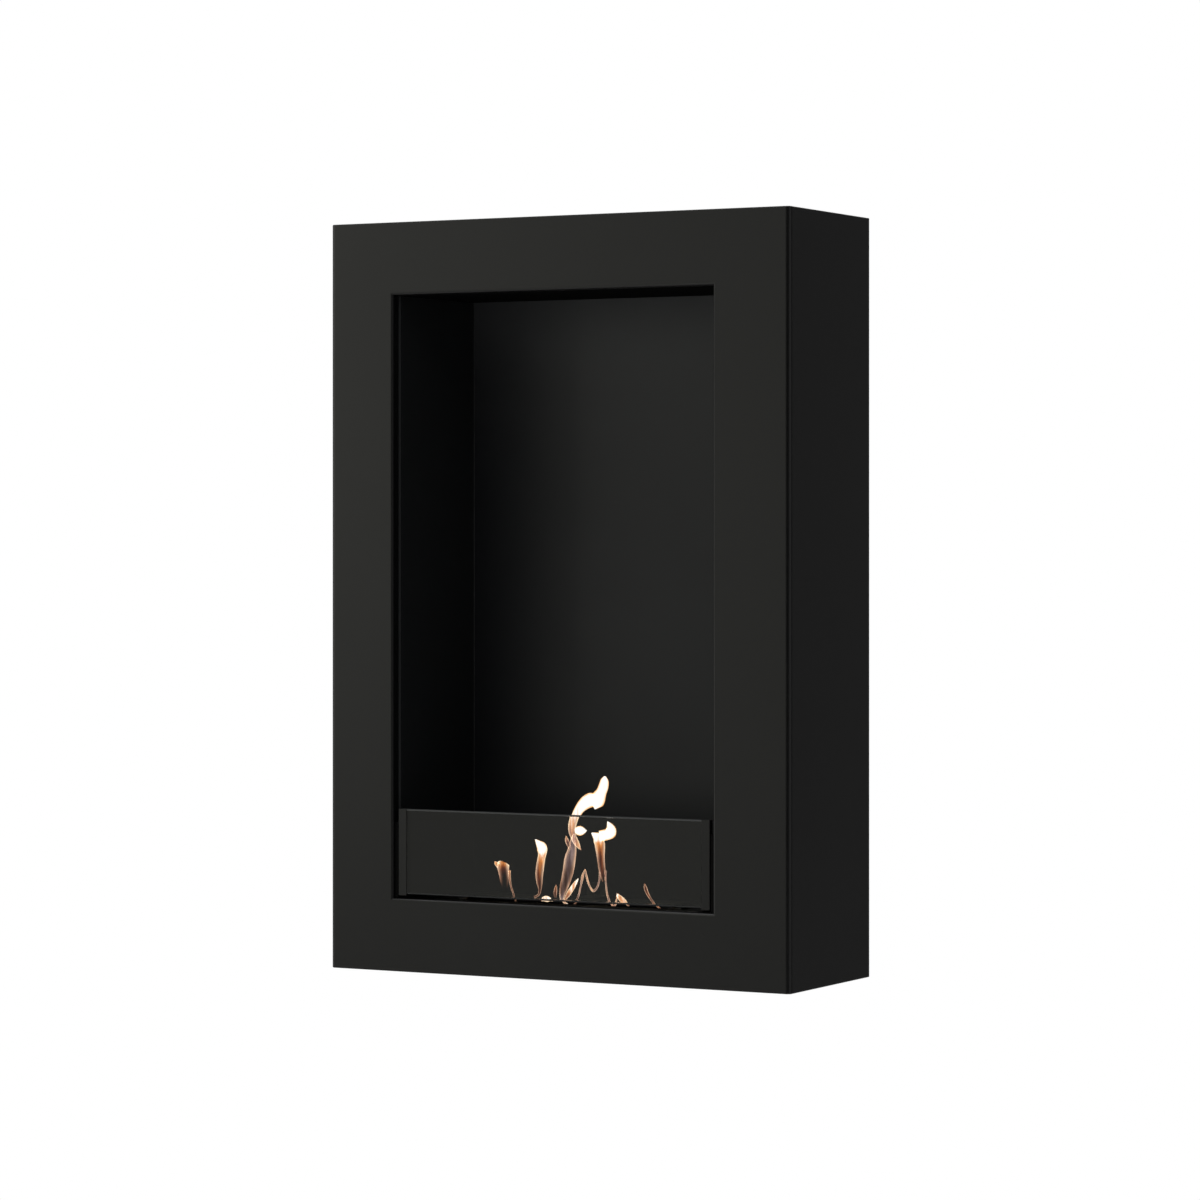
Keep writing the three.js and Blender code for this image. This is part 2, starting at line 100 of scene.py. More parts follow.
def gridFaces(rows, columns, around, first):
    # quads of a grid of points; around joins the last column to the first
    index = np.arange(rows * columns).reshape(rows, columns) + first
    if around:
        index = np.concatenate([index, index[:, :1]], axis=1)
    quads = [index[:-1, :-1], index[:-1, 1:], index[1:, 1:], index[1:, :-1]]
    return np.stack(quads, axis=-1).reshape(-1, 4)


def linked(name, data):
    # a new object in the scene
    made = bpy.data.objects.new(name, data)
    bpy.context.collection.objects.link(made)
    return made


def welded(mesh):
    # the mesh opened for editing, with the points that coincide made one
    work = bmesh.new()
    work.from_mesh(mesh)
    bmesh.ops.remove_doubles(work, verts=work.verts, dist=modelling["merge"])
    return work


def asPiece(name, mesh, work, material, body, replaced):
    # the edited mesh as an object that rides on its body and takes the place of its CAD pieces
    work.to_mesh(mesh)
    work.free()
    mesh.materials.clear()
    mesh.materials.append(material)
    mesh.shade_smooth()
    mesh.set_sharp_from_angle(angle=math.radians(modelling["sharpAngle"]))
    made = linked(name, mesh)
    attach(made, body)
    if replaced:
        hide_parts(*replaced)
    return made


def toObject(name, patches, material, body, *replaced, aside=0):
    # patches are (grid of points, closed around) in millimetres, welded into one closed mesh
    # replaced are the CAD pieces it stands for, and aside moves it along X
    points, faces, first = [], [], 0
    for grid, around in patches:
        rows, columns = grid.shape[:2]
        points.append(grid.reshape(-1, 3) + [aside, 0, 0])
        faces.append(gridFaces(rows, columns, around, first))
        first += rows * columns
    mesh = bpy.data.meshes.new(name)
    mesh.from_pydata((np.concatenate(points) * mm).tolist(), [], np.concatenate(faces).tolist())
    work = welded(mesh)
    bmesh.ops.dissolve_degenerate(work, edges=work.edges, dist=modelling["merge"] / 2)
    bmesh.ops.recalc_face_normals(work, faces=work.faces)
    asPiece(name, mesh, work, material, body, replaced)


def softened(name, nodeName, material, body, width, steps=2):
    # a merged copy of a CAD piece whose flat faces are joined and whose edges are rounded to this width
    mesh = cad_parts[nodeName].data.copy()
    work = welded(mesh)
    flat = math.radians(modelling["flatAngle"])
    bmesh.ops.dissolve_limit(work, angle_limit=flat, verts=work.verts, edges=work.edges)
    made = asPiece(name, mesh, work, material, body, [nodeName])
    rounding = made.modifiers.new("edges", "BEVEL")
    rounding.width = width * mm
    rounding.segments = steps
    rounding.limit_method = "ANGLE"
    rounding.angle_limit = math.radians(modelling["roundAngle"])


def arc(start, end, steps):
    # angles in radians from start to end, both in degrees
    return np.radians(np.linspace(start, end, steps + 1))


def bentLine(corners, radii, steps):
    # straight runs joined by arcs that touch them; returns places and their left-hand normals
    places, normals = [corners[0]], []
    ahead = corners[1:] - corners[:-1]
    ahead = ahead / np.linalg.norm(ahead, axis=1)[:, None]
    left = np.stack([-ahead[:, 1], ahead[:, 0]], axis=1)
    normals.append(left[0])
    for corner, before, after, side, radius in zip(corners[1:-1], ahead[:-1], ahead[1:], left[:-1], radii):
        turn = math.atan2(before[0] * after[1] - before[1] * after[0], before @ after)
        sign = math.copysign(1, turn)
        reach = radius * math.tan(abs(turn) / 2)
        centre = corner - before * reach + side * radius * sign
        angles = np.linspace(0, turn, steps + 1)
        cosine, sine = np.cos(angles), np.sin(angles)
        spun = np.stack([side[0] * cosine - side[1] * sine, side[0] * sine + side[1] * cosine], axis=1)
        bend = centre - sign * radius * spun
        places += [bend[0] - before * bendMargin, *bend, bend[-1] + after * bendMargin]
        normals += [spun[0], *spun, spun[-1]]
    places.append(corners[-1])
    normals.append(left[-1])
    return np.array(places), np.array(normals)


def sheetLines(corners, sheet, side, inner, steps=6):
    # both faces of a bent sheet: the given line, and the same line moved by the sheet's thickness
    # side is 1 where the sheet lies to the left of the line, and inner is the inside radius of its bends
    corners = np.array(corners, float)
    ahead = np.diff(corners, axis=0)
    turns = ahead[:-1, 0] * ahead[1:, 1] - ahead[:-1, 1] * ahead[1:, 0]
    radii = inner + np.where(np.sign(turns) == side, sheet, 0)
    face, normals = bentLine(corners, radii, steps)
    return face, face + side * sheet * normals


def bentSheet(corners, sheet, side, run, place, inner=1):
    # patches of a bent sheet carried straight from run[0] to run[1]; place is alongX, onPlan or onFace
    lines = sheetLines(corners, sheet, side, inner)
    face, back = (np.stack([place(line, end) for end in run]) for line in lines)
    patches = [(face, False), (back, False)]
    patches += [(np.stack([face[:, end], back[:, end]]), False) for end in (0, -1)]
    patches += [(np.stack([face[end], back[end]]), False) for end in (0, -1)]
    return patches


def channel(edge, web, front, back):
    # corners of a folded sheet: from the edge of one flange round the web to the edge of the other
    return [(edge, front), (web, front), (web, back), (edge, back)]


def alongX(points, x):
    # points of a side view, as (distance behind the face, level), at this X
    distance, level = points[..., 0], points[..., 1]
    return np.stack([x + 0 * level, behind(distance), level], axis=-1)


def onPlan(points, level):
    # points of a plan, as (X, distance behind the face), at this level
    x, distance = points[..., 0], points[..., 1]
    return np.stack([x, behind(distance), level + 0 * x], axis=-1)


def onFace(points, distance):
    # points of a front view, as (X, level), this far behind the face
    x, level = points[..., 0], points[..., 1]
    return np.stack([x, behind(distance) + 0 * x, level], axis=-1)


def outlineOf(half, low, high, radius, steps):
    # closed outline of a rectangle with round corners, from -half to half by low to high
    angles = np.concatenate([arc(start, start + 90, steps) for start in (0, 90, 180, 270)])
    centreX = np.repeat([half - radius, radius - half, radius - half, half - radius], steps + 1)
    centreY = np.repeat([high - radius, high - radius, low + radius, low + radius], steps + 1)
    return np.stack([centreX + radius * np.cos(angles), centreY + radius * np.sin(angles)], axis=1)


def loft(rows, place, steps=6, centre=0):
    # skin over rectangles with round corners, one a row: (half, low, high, radius, level)
    grid = []
    for half, low, high, radius, level in rows:
        outline = outlineOf(half, low, high, radius, steps)
        grid.append(place(outline + [centre, 0], level))
    return [(np.stack(grid), True)]


def inset(row, by, level):
    # the row's rectangle drawn in by this much
    half, low, high, corner, _ = row
    return (half - by, low + by, high - by, max(corner - by, modelling["sharpest"]), level)


def closing(row, level):
    # the row's rectangle shrunk to its own middle line, which closes a flat end
    half, low, high, _, _ = row
    short = min(half, (high - low) / 2)
    return (half - short, low + short, high - short, 0, level)


def quarter(radius, steps):
    # a rounded edge as pairs: how far inside the wall, and how far past the flat end
    return [(radius * (1 - math.sin(a)), radius * (1 - math.cos(a))) for a in arc(0, 90, steps)]


def plateRows(row, bottom, top, edge, steps):
    # a flat plate with rounded edges between two levels
    start, end = inset(row, edge + flatMargin, bottom), inset(row, edge + flatMargin, top)
    lower = [inset(row, inside, bottom + past) for inside, past in quarter(edge, steps)]
    upper = [inset(row, past, top - inside) for inside, past in quarter(edge, steps)]
    return [closing(start, bottom), start, *lower, *upper, end, closing(end, top)]


def rowOf(size, low, high):
    # the row of a piece from its dictionary, whose level comes later
    return (size["half"], size[low], size[high], size["corner"], 0)


def standingPlate(size, steps):
    # a flat plate parallel to the face
    rows = plateRows(rowOf(size, "low", "high"), size["front"], size["back"], size["edge"], steps)
    return loft(rows, onFace)


def lyingPlate(size, steps, cornerSteps=6, centre=0):
    # a flat plate that lies level
    rows = plateRows(rowOf(size, "front", "back"), size["low"], size["high"], size["edge"], steps)
    return loft(rows, onPlan, cornerSteps, centre)


def rectanglePath(half, low, high, linesX=(), linesZ=(), centre=0):
    # round a rectangle: places and the direction in which each one moves when the rectangle grows
    right = [(half, z, 1, 0) for z in linesZ]
    left = [(-half, z, -1, 0) for z in reversed(linesZ)]
    top = [(x, high, 0, 1) for x in reversed(linesX)]
    bottom = [(x, low, 0, -1) for x in linesX]
    corners = [(half, low, 1, -1), (half, high, 1, 1), (-half, high, -1, 1), (-half, low, -1, -1)]
    path = np.array([corners[0], *right, corners[1], *top, corners[2], *left, corners[3], *bottom], float)
    return path + [centre, 0, 0, 0]


def mitredRing(profile, path):
    # profile (outward, behind the face) carried round a rectangle with mitred corners
    outward, distance = profile[:, :1], profile[:, 1:]
    x = path[:, 0] + outward * path[:, 2]
    z = path[:, 1] + outward * path[:, 3]
    return np.stack([x, behind(distance) + 0 * x, z], axis=-1)


def linear(hexColour):
    # '#rrggbb' as shown on a screen, turned to the linear values that shaders take
    channels = np.array([int(hexColour[i : i + 2], 16) for i in (1, 3, 5)]) / 255
    straight = np.where(channels <= 0.04045, channels / 12.92, ((channels + 0.055) / 1.055) ** 2.4)
    return (*straight.tolist(), 1)


def addNode(tree, kind, inputs=None, **settings):
    # a node with its settings; an input is a value, or the output it is linked from
    made = tree.nodes.new("ShaderNode" + kind)
    for key, value in settings.items():
        setattr(made, key, value)
    for key, value in (inputs or {}).items():
        if isinstance(value, bpy.types.NodeSocket):
            tree.links.new(value, made.inputs[key])
        else:
            made.inputs[key].default_value = value
    return made


def perMetre(sizeMm):
    # texture scale whose features are about this size
    return 1000 / sizeMm


def noise(tree, place, sizeMm, detail, output="Fac"):
    # unevenness whose lumps are about this size
    inputs = {"Vector": place, "Scale": perMetre(sizeMm), "Detail": detail}
    return addNode(tree, "TexNoise", inputs).outputs[output]


def stretched(tree, place, sizesMm, detail, turn=(0, 0, 0)):
    # unevenness whose lumps have a size of their own along each axis
    scale = tuple(perMetre(size) for size in sizesMm)
    drawn = addNode(tree, "Mapping", {"Vector": place, "Scale": scale, "Rotation": turn}).outputs[0]
    return addNode(tree, "TexNoise", {"Vector": drawn, "Scale": 1, "Detail": detail}).outputs["Fac"]


def calculated(tree, operation, *values):
    # one step of arithmetic with numbers
    return addNode(tree, "Math", dict(enumerate(values)), operation=operation).outputs[0]


def vectorStep(tree, operation, *values):
    # one step of arithmetic with vectors, which gives a vector or, for these two, a number
    made = addNode(tree, "VectorMath", dict(enumerate(values)), operation=operation)
    return made.outputs["Value" if operation in ("LENGTH", "DOT_PRODUCT") else "Vector"]


def ranged(tree, value, low=0, high=1, toLow=0, toHigh=1, smooth=False):
    # the value held between low and high, and moved to the range from toLow to toHigh
    inputs = {"Value": value, 1: low, 2: high, 3: toLow, 4: toHigh}
    easing = "SMOOTHSTEP" if smooth else "LINEAR"
    return addNode(tree, "MapRange", inputs, interpolation_type=easing).outputs[0]


def mixed(tree, low, high, share, kind="RGBA", **settings):
    # low where the share is 0 and high where it is 1; the node has sockets of its own for each kind
    first, result = {"FLOAT": (2, 0), "VECTOR": (4, 1), "RGBA": (6, 2)}[kind]
    inputs = {0: share, first: low, first + 1: high}
    return addNode(tree, "Mix", inputs, data_type=kind, **settings).outputs[result]


def mixedTones(tree, low, high, share):
    # the same for two colours as '#rrggbb'
    return mixed(tree, linear(low), linear(high), share)


def ramp(tree, share, stops):
    # colours along a share, with each stop as (share, colour)
    made = addNode(tree, "ValToRGB", {"Fac": share})
    elements = made.color_ramp.elements
    while len(elements) < len(stops):
        elements.new(0.5)
    for element, (at, colour) in zip(elements, stops):
        element.position = at
        element.color = linear(colour)
    return made.outputs["Color"]


def bumped(tree, height, depthMm, strength):
    # normals of a surface that rises by the depth where the height is 1
    inputs = {"Height": height, "Strength": strength, "Distance": depthMm * mm}
    return addNode(tree, "Bump", inputs).outputs[0]


def newMaterial(name):
    # an empty material of this name, its nodes, and the place of each point on the object
    material = bpy.data.materials.new(name)
    material.use_nodes = True
    tree = material.node_tree
    tree.nodes.clear()
    return material, tree, addNode(tree, "TexCoord").outputs["Object"]


def finishedWith(material, inputs, kind="BsdfPrincipled"):
    # the material with its last shader and its output
    shader = addNode(material.node_tree, kind, inputs)
    addNode(material.node_tree, "OutputMaterial", {"Surface": shader.outputs[0]})
    return material


# what all paints share
paint = {
    "speck": 0.45,  # size of the specks in tone and level
    "cloud": 60,  # size of the clouds in gloss
    "glossier": 0.015,  # how far the clouds lower the roughness
    "duller": 0.02,  # how far they raise it
    "grain": 0.12,  # height of the specks as a share of the peel's
    "drift": 50,  # how far the clouds move the level at which the painted light begins
    "easing": 2.1,  # power of the painted light's share, which makes it begin gently
}


def paintOn(name, colours, roughness, peelMm, peelHeightMm, specular=0.5, paintedLight=None):
    # paint on steel: three scales of unevenness in tone, gloss and level
    # the last argument is (start, end, colour): levels in millimetres between which painted light makes the
    # paint paler
    material, tree, place = newMaterial(name)
    speck = noise(tree, place, paint["speck"], 2)
    cloud = noise(tree, place, paint["cloud"], 3)
    peel = noise(tree, place, peelMm, 1.5)
    tone = mixedTones(tree, *colours, speck)
    # painted light: the tone turns paler between two levels
    if paintedLight:
        start, end, pale = paintedLight
        drift = paint["drift"] * mm
        level = addNode(tree, "SeparateXYZ", {"Vector": place}).outputs["Z"]
        moved = calculated(tree, "MULTIPLY_ADD", cloud, drift, level)
        share = ranged(tree, moved, start * mm + drift / 2, end * mm + drift / 2)
        tone = mixed(tree, tone, linear(pale), calculated(tree, "POWER", share, paint["easing"]))
    gloss = ranged(tree, cloud, 0.3, 0.7, roughness - paint["glossier"], roughness + paint["duller"])
    height = calculated(tree, "ADD", peel, calculated(tree, "MULTIPLY", speck, paint["grain"]))
    inputs = {
        "Base Color": tone,
        "Roughness": gloss,
        "IOR": 1.5,
        "Specular IOR Level": specular,
        "Normal": bumped(tree, height, peelHeightMm, 1),
    }
    return finishedWith(material, inputs)


# each paint: name, colours, roughness, width and height of its peel in millimetres, reflectance, and the
# levels of any painted light
# Satin polyester powder coat: nearly black, with a broad soft sheen and a fine orange peel
powderCoat = paintOn("satinBlackPowderCoat", ("#090909", "#0c0c0c"), 0.36, 1.8, 0.006)
# Heat-resistant stove paint: a softer black, a little flatter, with a finer dry grain
stovePaint = paintOn("satinBlackStovePaint", ("#1b1c1d", "#202223"), 0.4, 0.9, 0.006)
# Stove paint on the firebox's back, paler towards the top: painted light on the upper wall, which the
# ceiling shades from the lamps
paintedLightTop = (480, 725, "#3f4042")
backWallColours = ("#151618", "#1a1b1e")
paintedLightBackPaint = paintOn("paintedLightBackStovePaint", backWallColours, 0.4, 0.9, 0.006, 0.43, paintedLightTop)
# Stove paint on the floor beside the burner, darker than on the walls as painted shade under the pane, its
# gloss dulled by a thin film of soot
deckShadePaint = paintOn("sootDulledPaintedShadeDeckPaint", ("#0b0b0b", "#0f0f0e"), 0.6, 0.8, 0.008, 0.25)
# Fire cement in the corner seams: its pale grey is a painted highlight along each rear corner, with a sandy
# grain
fireCementHighlight = paintOn("fireCementPaintedHighlight", ("#4a4a4a", "#5a5a58"), 0.8, 0.7, 0.03, 0.3)
# Stove paint over the flames: its near-black tone is painted shade on the downward-facing ceiling, and heat
# and a film of soot dull it until it hardly shines
sootAndShadePaint = paintOn("sootDulledPaintedShadeCeilingPaint", ("#050505", "#080807"), 0.85, 0.7, 0.01, 0.06)
# Black oxide on steel screws: a thin dark film with little sheen
blackOxide = paintOn("blackOxideSteel", ("#101012", "#18181a"), 0.42, 0.5, 0.004)
# EPDM rubber: matt, with the dull grain of its mould
rubber = paintOn("mattBlackRubber", ("#0c0c0c", "#131313"), 0.8, 0.6, 0.02, 0.3)
# The guides' dense extruded rubber, near black as painted shade in the dark gaps beside the pane
guideShadeRubber = paintOn("paintedShadeGuideRubber", ("#040404", "#070707"), 0.75, 0.6, 0.01, 0.1)

# heat colours round the burner's slot: its middle behind the face, half its size in X and in Y, how far
# they reach, and how far the clouds in the steel push them to and fro
heatMark = {"middle": 62, "half": 110, "deep": 13, "reach": 22, "wave": 12}
# blue-grey at the slot's edge, bronze, straw, and then the plain steel
heatStops = [(0, "#6d7076"), (0.3, "#8a6f74"), (0.6, "#c9a56c"), (1, "#ffffff")]


def metal(material, tone, roughness, normal):
    # a bare or plated metal
    inputs = {"Base Color": tone, "Metallic": 1, "Roughness": roughness, "Normal": normal}
    return finishedWith(material, inputs)


def brushedStainless(name, colours, fired=False, dullest=0.38):
    # brushed stainless steel: fine straight scratches along X that stretch each reflection across them
    material, tree, place = newMaterial(name)
    # scratches 60 mm long and 0.25 mm wide; real ones are finer, and these are wide enough to show
    # they change the roughness by 0.12, and the clouds by 0.06
    streak = stretched(tree, place, (60, 0.25, 0.25), 3)
    cloud = noise(tree, place, 35, 2)
    tone = mixedTones(tree, *colours, streak)
    if fired:
        # distance from the slot's edge, the same on all sides and at any level
        offset = (-mm * middle, -mm * behind(heatMark["middle"]), 0)
        folded = vectorStep(tree, "ABSOLUTE", vectorStep(tree, "ADD", place, offset))
        beyond = vectorStep(tree, "SUBTRACT", folded, (heatMark["half"] * mm, heatMark["deep"] * mm, 1))
        reach = vectorStep(tree, "LENGTH", vectorStep(tree, "MAXIMUM", beyond, (0, 0, 0)))
        wave = heatMark["wave"] * mm
        wavy = calculated(tree, "MULTIPLY_ADD", cloud, wave, -wave / 2)
        share = ranged(tree, calculated(tree, "ADD", reach, wavy), 0, heatMark["reach"] * mm)
        tone = mixed(tree, tone, ramp(tree, share, heatStops), 1, blend_type="MULTIPLY")
    gloss = ranged(tree, streak, 0.3, 0.7, dullest - 0.12, dullest)
    wiped = calculated(tree, "MULTIPLY_ADD", cloud, 0.06, gloss)
    return metal(material, tone, wiped, bumped(tree, streak, 0.01, 0.6))


def zincPlated():
    # bright zinc plate: a smooth cool grey film, faintly cloudy, over rolled steel
    material, tree, place = newMaterial("brightZincPlate")
    cloud = noise(tree, place, 28, 4)
    # rolling marks 0.5 mm wide, coarser than real ones so that they show
    mark = stretched(tree, place, (40, 0.5, 0.5), 2)
    tone = mixedTones(tree, "#b3b8bb", "#cfd1cf", cloud)
    gloss = ranged(tree, calculated(tree, "ADD", cloud, mark), 0.7, 1.3, 0.3, 0.42)
    return metal(material, tone, gloss, bumped(tree, mark, 0.01, 0.5))


def galvanisedSteel():
    # hot-dip galvanised sheet: flat crystals of zinc about 12 mm across, each with its own grey
    material, tree, place = newMaterial("galvanisedSteel")
    bent = mixed(tree, place, noise(tree, place, 9, 2, "Color"), 0.006, "VECTOR")
    crystal = addNode(tree, "TexVoronoi", {"Vector": bent, "Scale": perMetre(12)})
    grey = addNode(tree, "SeparateColor", {"Color": crystal.outputs["Color"]}).outputs
    tone = mixedTones(tree, "#aeb2b4", "#c3c7c9", grey[0])
    gloss = ranged(tree, grey[1], toLow=0.44, toHigh=0.54)
    return metal(material, tone, gloss, bumped(tree, grey[2], 0.02, 0.5))


def smokedGlass():
    # grey body-tinted tempered glass: a clean mirror over a dark body, and a ground edge that glows dully
    material, tree, place = newMaterial("smokedGlass")
    gloss = ranged(tree, noise(tree, place, 45, 3), 0.35, 0.7, 0.012, 0.03)
    # the edge is whatever faces up or down, as on a pane ground after it is cut
    facing = addNode(tree, "SeparateXYZ", {"Vector": addNode(tree, "NewGeometry").outputs["Normal"]})
    ground = ranged(tree, calculated(tree, "ABSOLUTE", facing.outputs["Z"]), 0.1, 0.3)
    inputs = {
        "Base Color": mixedTones(tree, "#636565", "#3b3d3d", ground),
        "Roughness": mixed(tree, gloss, 0.5, ground, "FLOAT"),
        "IOR": 1.455,
        "Transmission Weight": calculated(tree, "SUBTRACT", 1, ground),
    }
    return finishedWith(material, inputs)


def ceramicFibre():
    # ceramic fibre board: chalky white, matted from short fibres, with soot-grey hollows
    material, tree, place = newMaterial("ceramicFibre")
    # fibres 5 mm long and 0.4 mm thick in two directions
    matOne = stretched(tree, place, (5, 0.4, 0.8), 3)
    matTwo = stretched(tree, place, (0.4, 5, 0.8), 3, (0, 0, 0.5))
    depth = ranged(tree, calculated(tree, "MAXIMUM", matOne, matTwo), 0.4, 0.75)
    inputs = {
        "Base Color": mixedTones(tree, "#bdb8ac", "#efece4", depth),
        "Roughness": 0.95,
        "Normal": bumped(tree, depth, 0.4, 0.8),
    }
    return finishedWith(material, inputs)


stainless = brushedStainless("brushedStainless", ("#a9a7a2", "#c6c4bf"))
# The same steel on top of the burner, darkened by years of heat and coloured round the slot
firedStainless = brushedStainless("heatTintedStainless", ("#4c4a48", "#686562"), True)
# And on the lid, which lies behind the fire and only turned the colour of straw
strawStainless = brushedStainless("strawTintedStainless", ("#8f8775", "#aaa28f"), dullest=0.48)
galvanised = galvanisedSteel()
zinc = zincPlated()
glass = smokedGlass()
fibre = ceramicFibre()
print("materials ready")


def planLine(by, bend):
    # plan of the casing drawn in by this much, from rear left round the front to rear right
    side, front, back = casing["halfWidth"] - by, by, casing["depth"]
    around = arc(180, 270, casing["bendSteps"])
    leftBend = np.stack([-side + bend + bend * np.cos(around), front + bend + bend * np.sin(around)], axis=1)
    past = bend + wallMargin
    left = np.concatenate([[[-side, back], [-side, front + past]], leftBend, [[past - side, front]]])
    half = casing["openingSide"] + lipStart
    hole = [[middle - half, front], [middle + half, front]]
    return np.concatenate([left, hole, left[::-1] * [-1, 1]])


def wrapRows(edge, thick):
    # rows of the upright wrap as (drawn in, level): the ground edge below, the walls, the ground edge above
    low = [(thick + inside, thick + past) for inside, past in quarter(edge, 5)]
    near = edge + wallMargin + thick
    walls = [near, casing["sill"] - lipStart, casing["head"] + lipStart, casing["height"] - near]
    high = [(by, casing["height"] - level) for by, level in reversed(low)]
    return [*low, *[(thick, level) for level in walls], *high]


def atBack(line):
    # the line moved straight back to the casing's rear
    rear = line.copy()
    rear[:, 1] = behind(casing["depth"])
    return rear


def wrapSkin(thick):
    # one face of the casing's wrap with the cells of the opening left out, and its top and bottom
    rows = wrapRows(max(casing["edge"] - thick, casing["innerEdge"]), thick)
    grid = np.stack([onPlan(planLine(by, casing["frontBend"] - by), level) for by, level in rows])
    low = next(i for i, row in enumerate(rows) if row[1] > casing["sill"] / 2)
    half = grid.shape[1] // 2
    patches = [
        (grid[: low + 1], False),
        (grid[low : low + 2, :half], False),
        (grid[low : low + 2, half:], False),
        (grid[low + 1 :], False),
    ]
    # the plan swept straight back closes the bottom and the top
    patches += [(np.stack([grid[end], atBack(grid[end])]), False) for end in (0, -1)]
    return patches, grid


def shellPatches():
    # the casing's sheet: both faces of the wrap, its raw edges, the opening's lip and the rear flange
    outer, outerGrid = wrapSkin(0)
    inner, innerGrid = wrapSkin(casing["sheet"])
    patches = outer + inner
    # raw rear edges of the sides, and of the bottom and the top
    edges = [(outerGrid[:, end], innerGrid[:, end]) for end in (0, -1)]
    edges += [(atBack(outerGrid[end]), atBack(innerGrid[end])) for end in (0, -1)]
    patches += [(np.stack(pair), False) for pair in edges]
    # lip: from the face through its bend, straight in, and out again behind the face
    corners = [(lipStart, 0), (0, 0), (0, casing["lipDepth"]), (casing["flangeEdge"], casing["lipDepth"])]
    face, back = sheetLines(corners, casing["sheet"], -1, casing["lipBend"] - casing["sheet"], steps=8)
    profile = np.concatenate([face, back[::-1]])
    path = rectanglePath(casing["openingSide"], casing["sill"], casing["head"], centre=middle)
    patches.append((mitredRing(profile, path), True))
    # rear flange: a flat ring welded inside the walls
    outside = casing["sheet"] - casing["rearFlangeWeld"]
    reach = casing["rearFlange"] + casing["rearFlangeWeld"]
    rear = casing["depth"] - casing["rearFlangeInset"]
    front = rear - casing["sheet"]
    flat = np.array([(-reach, front), (0, front), (0, rear), (-reach, rear), (-reach, front)])
    path = rectanglePath(casing["halfWidth"] - outside, outside, casing["height"] - outside)
    patches.append((mitredRing(flat, path), True))
    return patches


toObject("casingShell", shellPatches(), powderCoat, "casing", "outer_shell")

liner = {"sheet": 1.5, "front": 14.3, "back": 169.7, "side": 192, "edge": 205.5, "foot": 44, "top": 721.7}
for name, sign in sides:
    corners = channel(sign * liner["edge"], sign * liner["side"], liner["front"], liner["back"])
    patches = bentSheet(corners, liner["sheet"], sign, (liner["foot"], liner["top"]), onPlan)
    node = "firebox_" + name.lower()
    toObject("linerSide" + name, patches, stovePaint, "casing", node, aside=middle)

ceiling = {"level": 722, "half": 193.5, "rise": 735.5}
turned = channel(ceiling["rise"], ceiling["level"], liner["front"], liner["back"])
corners = [(distance, level) for level, distance in turned]
patches = bentSheet(corners, liner["sheet"], 1, (-ceiling["half"], ceiling["half"]), alongX)
toObject("linerTop", patches, sootAndShadePaint, "casing", "firebox_top", aside=middle)

rearWall = {"half": liner["edge"], "low": liner["foot"], "high": ceiling["rise"]}
rearWall |= {"front": 170, "back": 171.5, "corner": 1.5, "edge": 0.3}
patches = standingPlate(rearWall, steps=4)
toObject("linerBack", patches, paintedLightBackPaint, "casing", "firebox_back", aside=middle)

# beads of fire cement in the two rear corners, from the deck to the ceiling
bead = {
    "reach": 1.7,
    "low": 76,
    "high": 721.5,
    "bulge": 0.25,
    "lean": 0.7,  # share of the bulge along X, and along Y
    "into": 0.4,  # how far the bead reaches into the side sheet
    "rear": 170.2,
}
side, run = liner["side"] + bead["into"], bead["reach"] + bead["into"]
slope = np.linspace(0, 1, 5)
swell = bead["bulge"] * bead["lean"] * np.sin(np.pi * slope)
front = np.stack([side - run * slope - swell, bead["rear"] - run * (1 - slope) - swell], axis=1)
section = np.concatenate([front, [[side, bead["rear"]]]])
for name, sign in sides:
    rows = []
    for level, share in ((bead["low"], 0), (bead["low"], 1), (bead["high"], 1), (bead["high"], 0)):
        drawn = section * share + (1 - share) * section.mean(axis=0)
        rows.append(onPlan(drawn * [sign, 1], level))
    patches = [(np.stack(rows), True)]
    toObject("cornerBead" + name, patches, fireCementHighlight, "casing", aside=middle)

softened("burnerDeck", "burner_deck", deckShadePaint, "casing", width=0.4)
for name, _ in sides:
    softened("deckSupport" + name, "deck_support_" + name.lower(), stovePaint, "casing", width=0.4)
for name, _ in sides:
    softened("screenGuide" + name, "screen_guide_" + name.lower(), guideShadeRubber, "casing", width=0.25)
softened("spillTray", "spill_tray", galvanised, "casing", width=0.3)

# back panel: a pan pressed into the casing, whose flange is screwed to the casing's rear edge
pan = {
    "half": 259,
    "low": 16,
    "high": 784,
    "sheet": 1,
    "web": 173.5,
    "flange": 186.3,
    "flangeEdge": 13.5,
    "fold": 1.2,  # inside radius
    "seam": 5,  # from the pan's side to where its flat web begins
    "vents": 9,
    "ventPitch": 46,
    "ventLength": 34,
    "ventLevels": (758, 762),
}


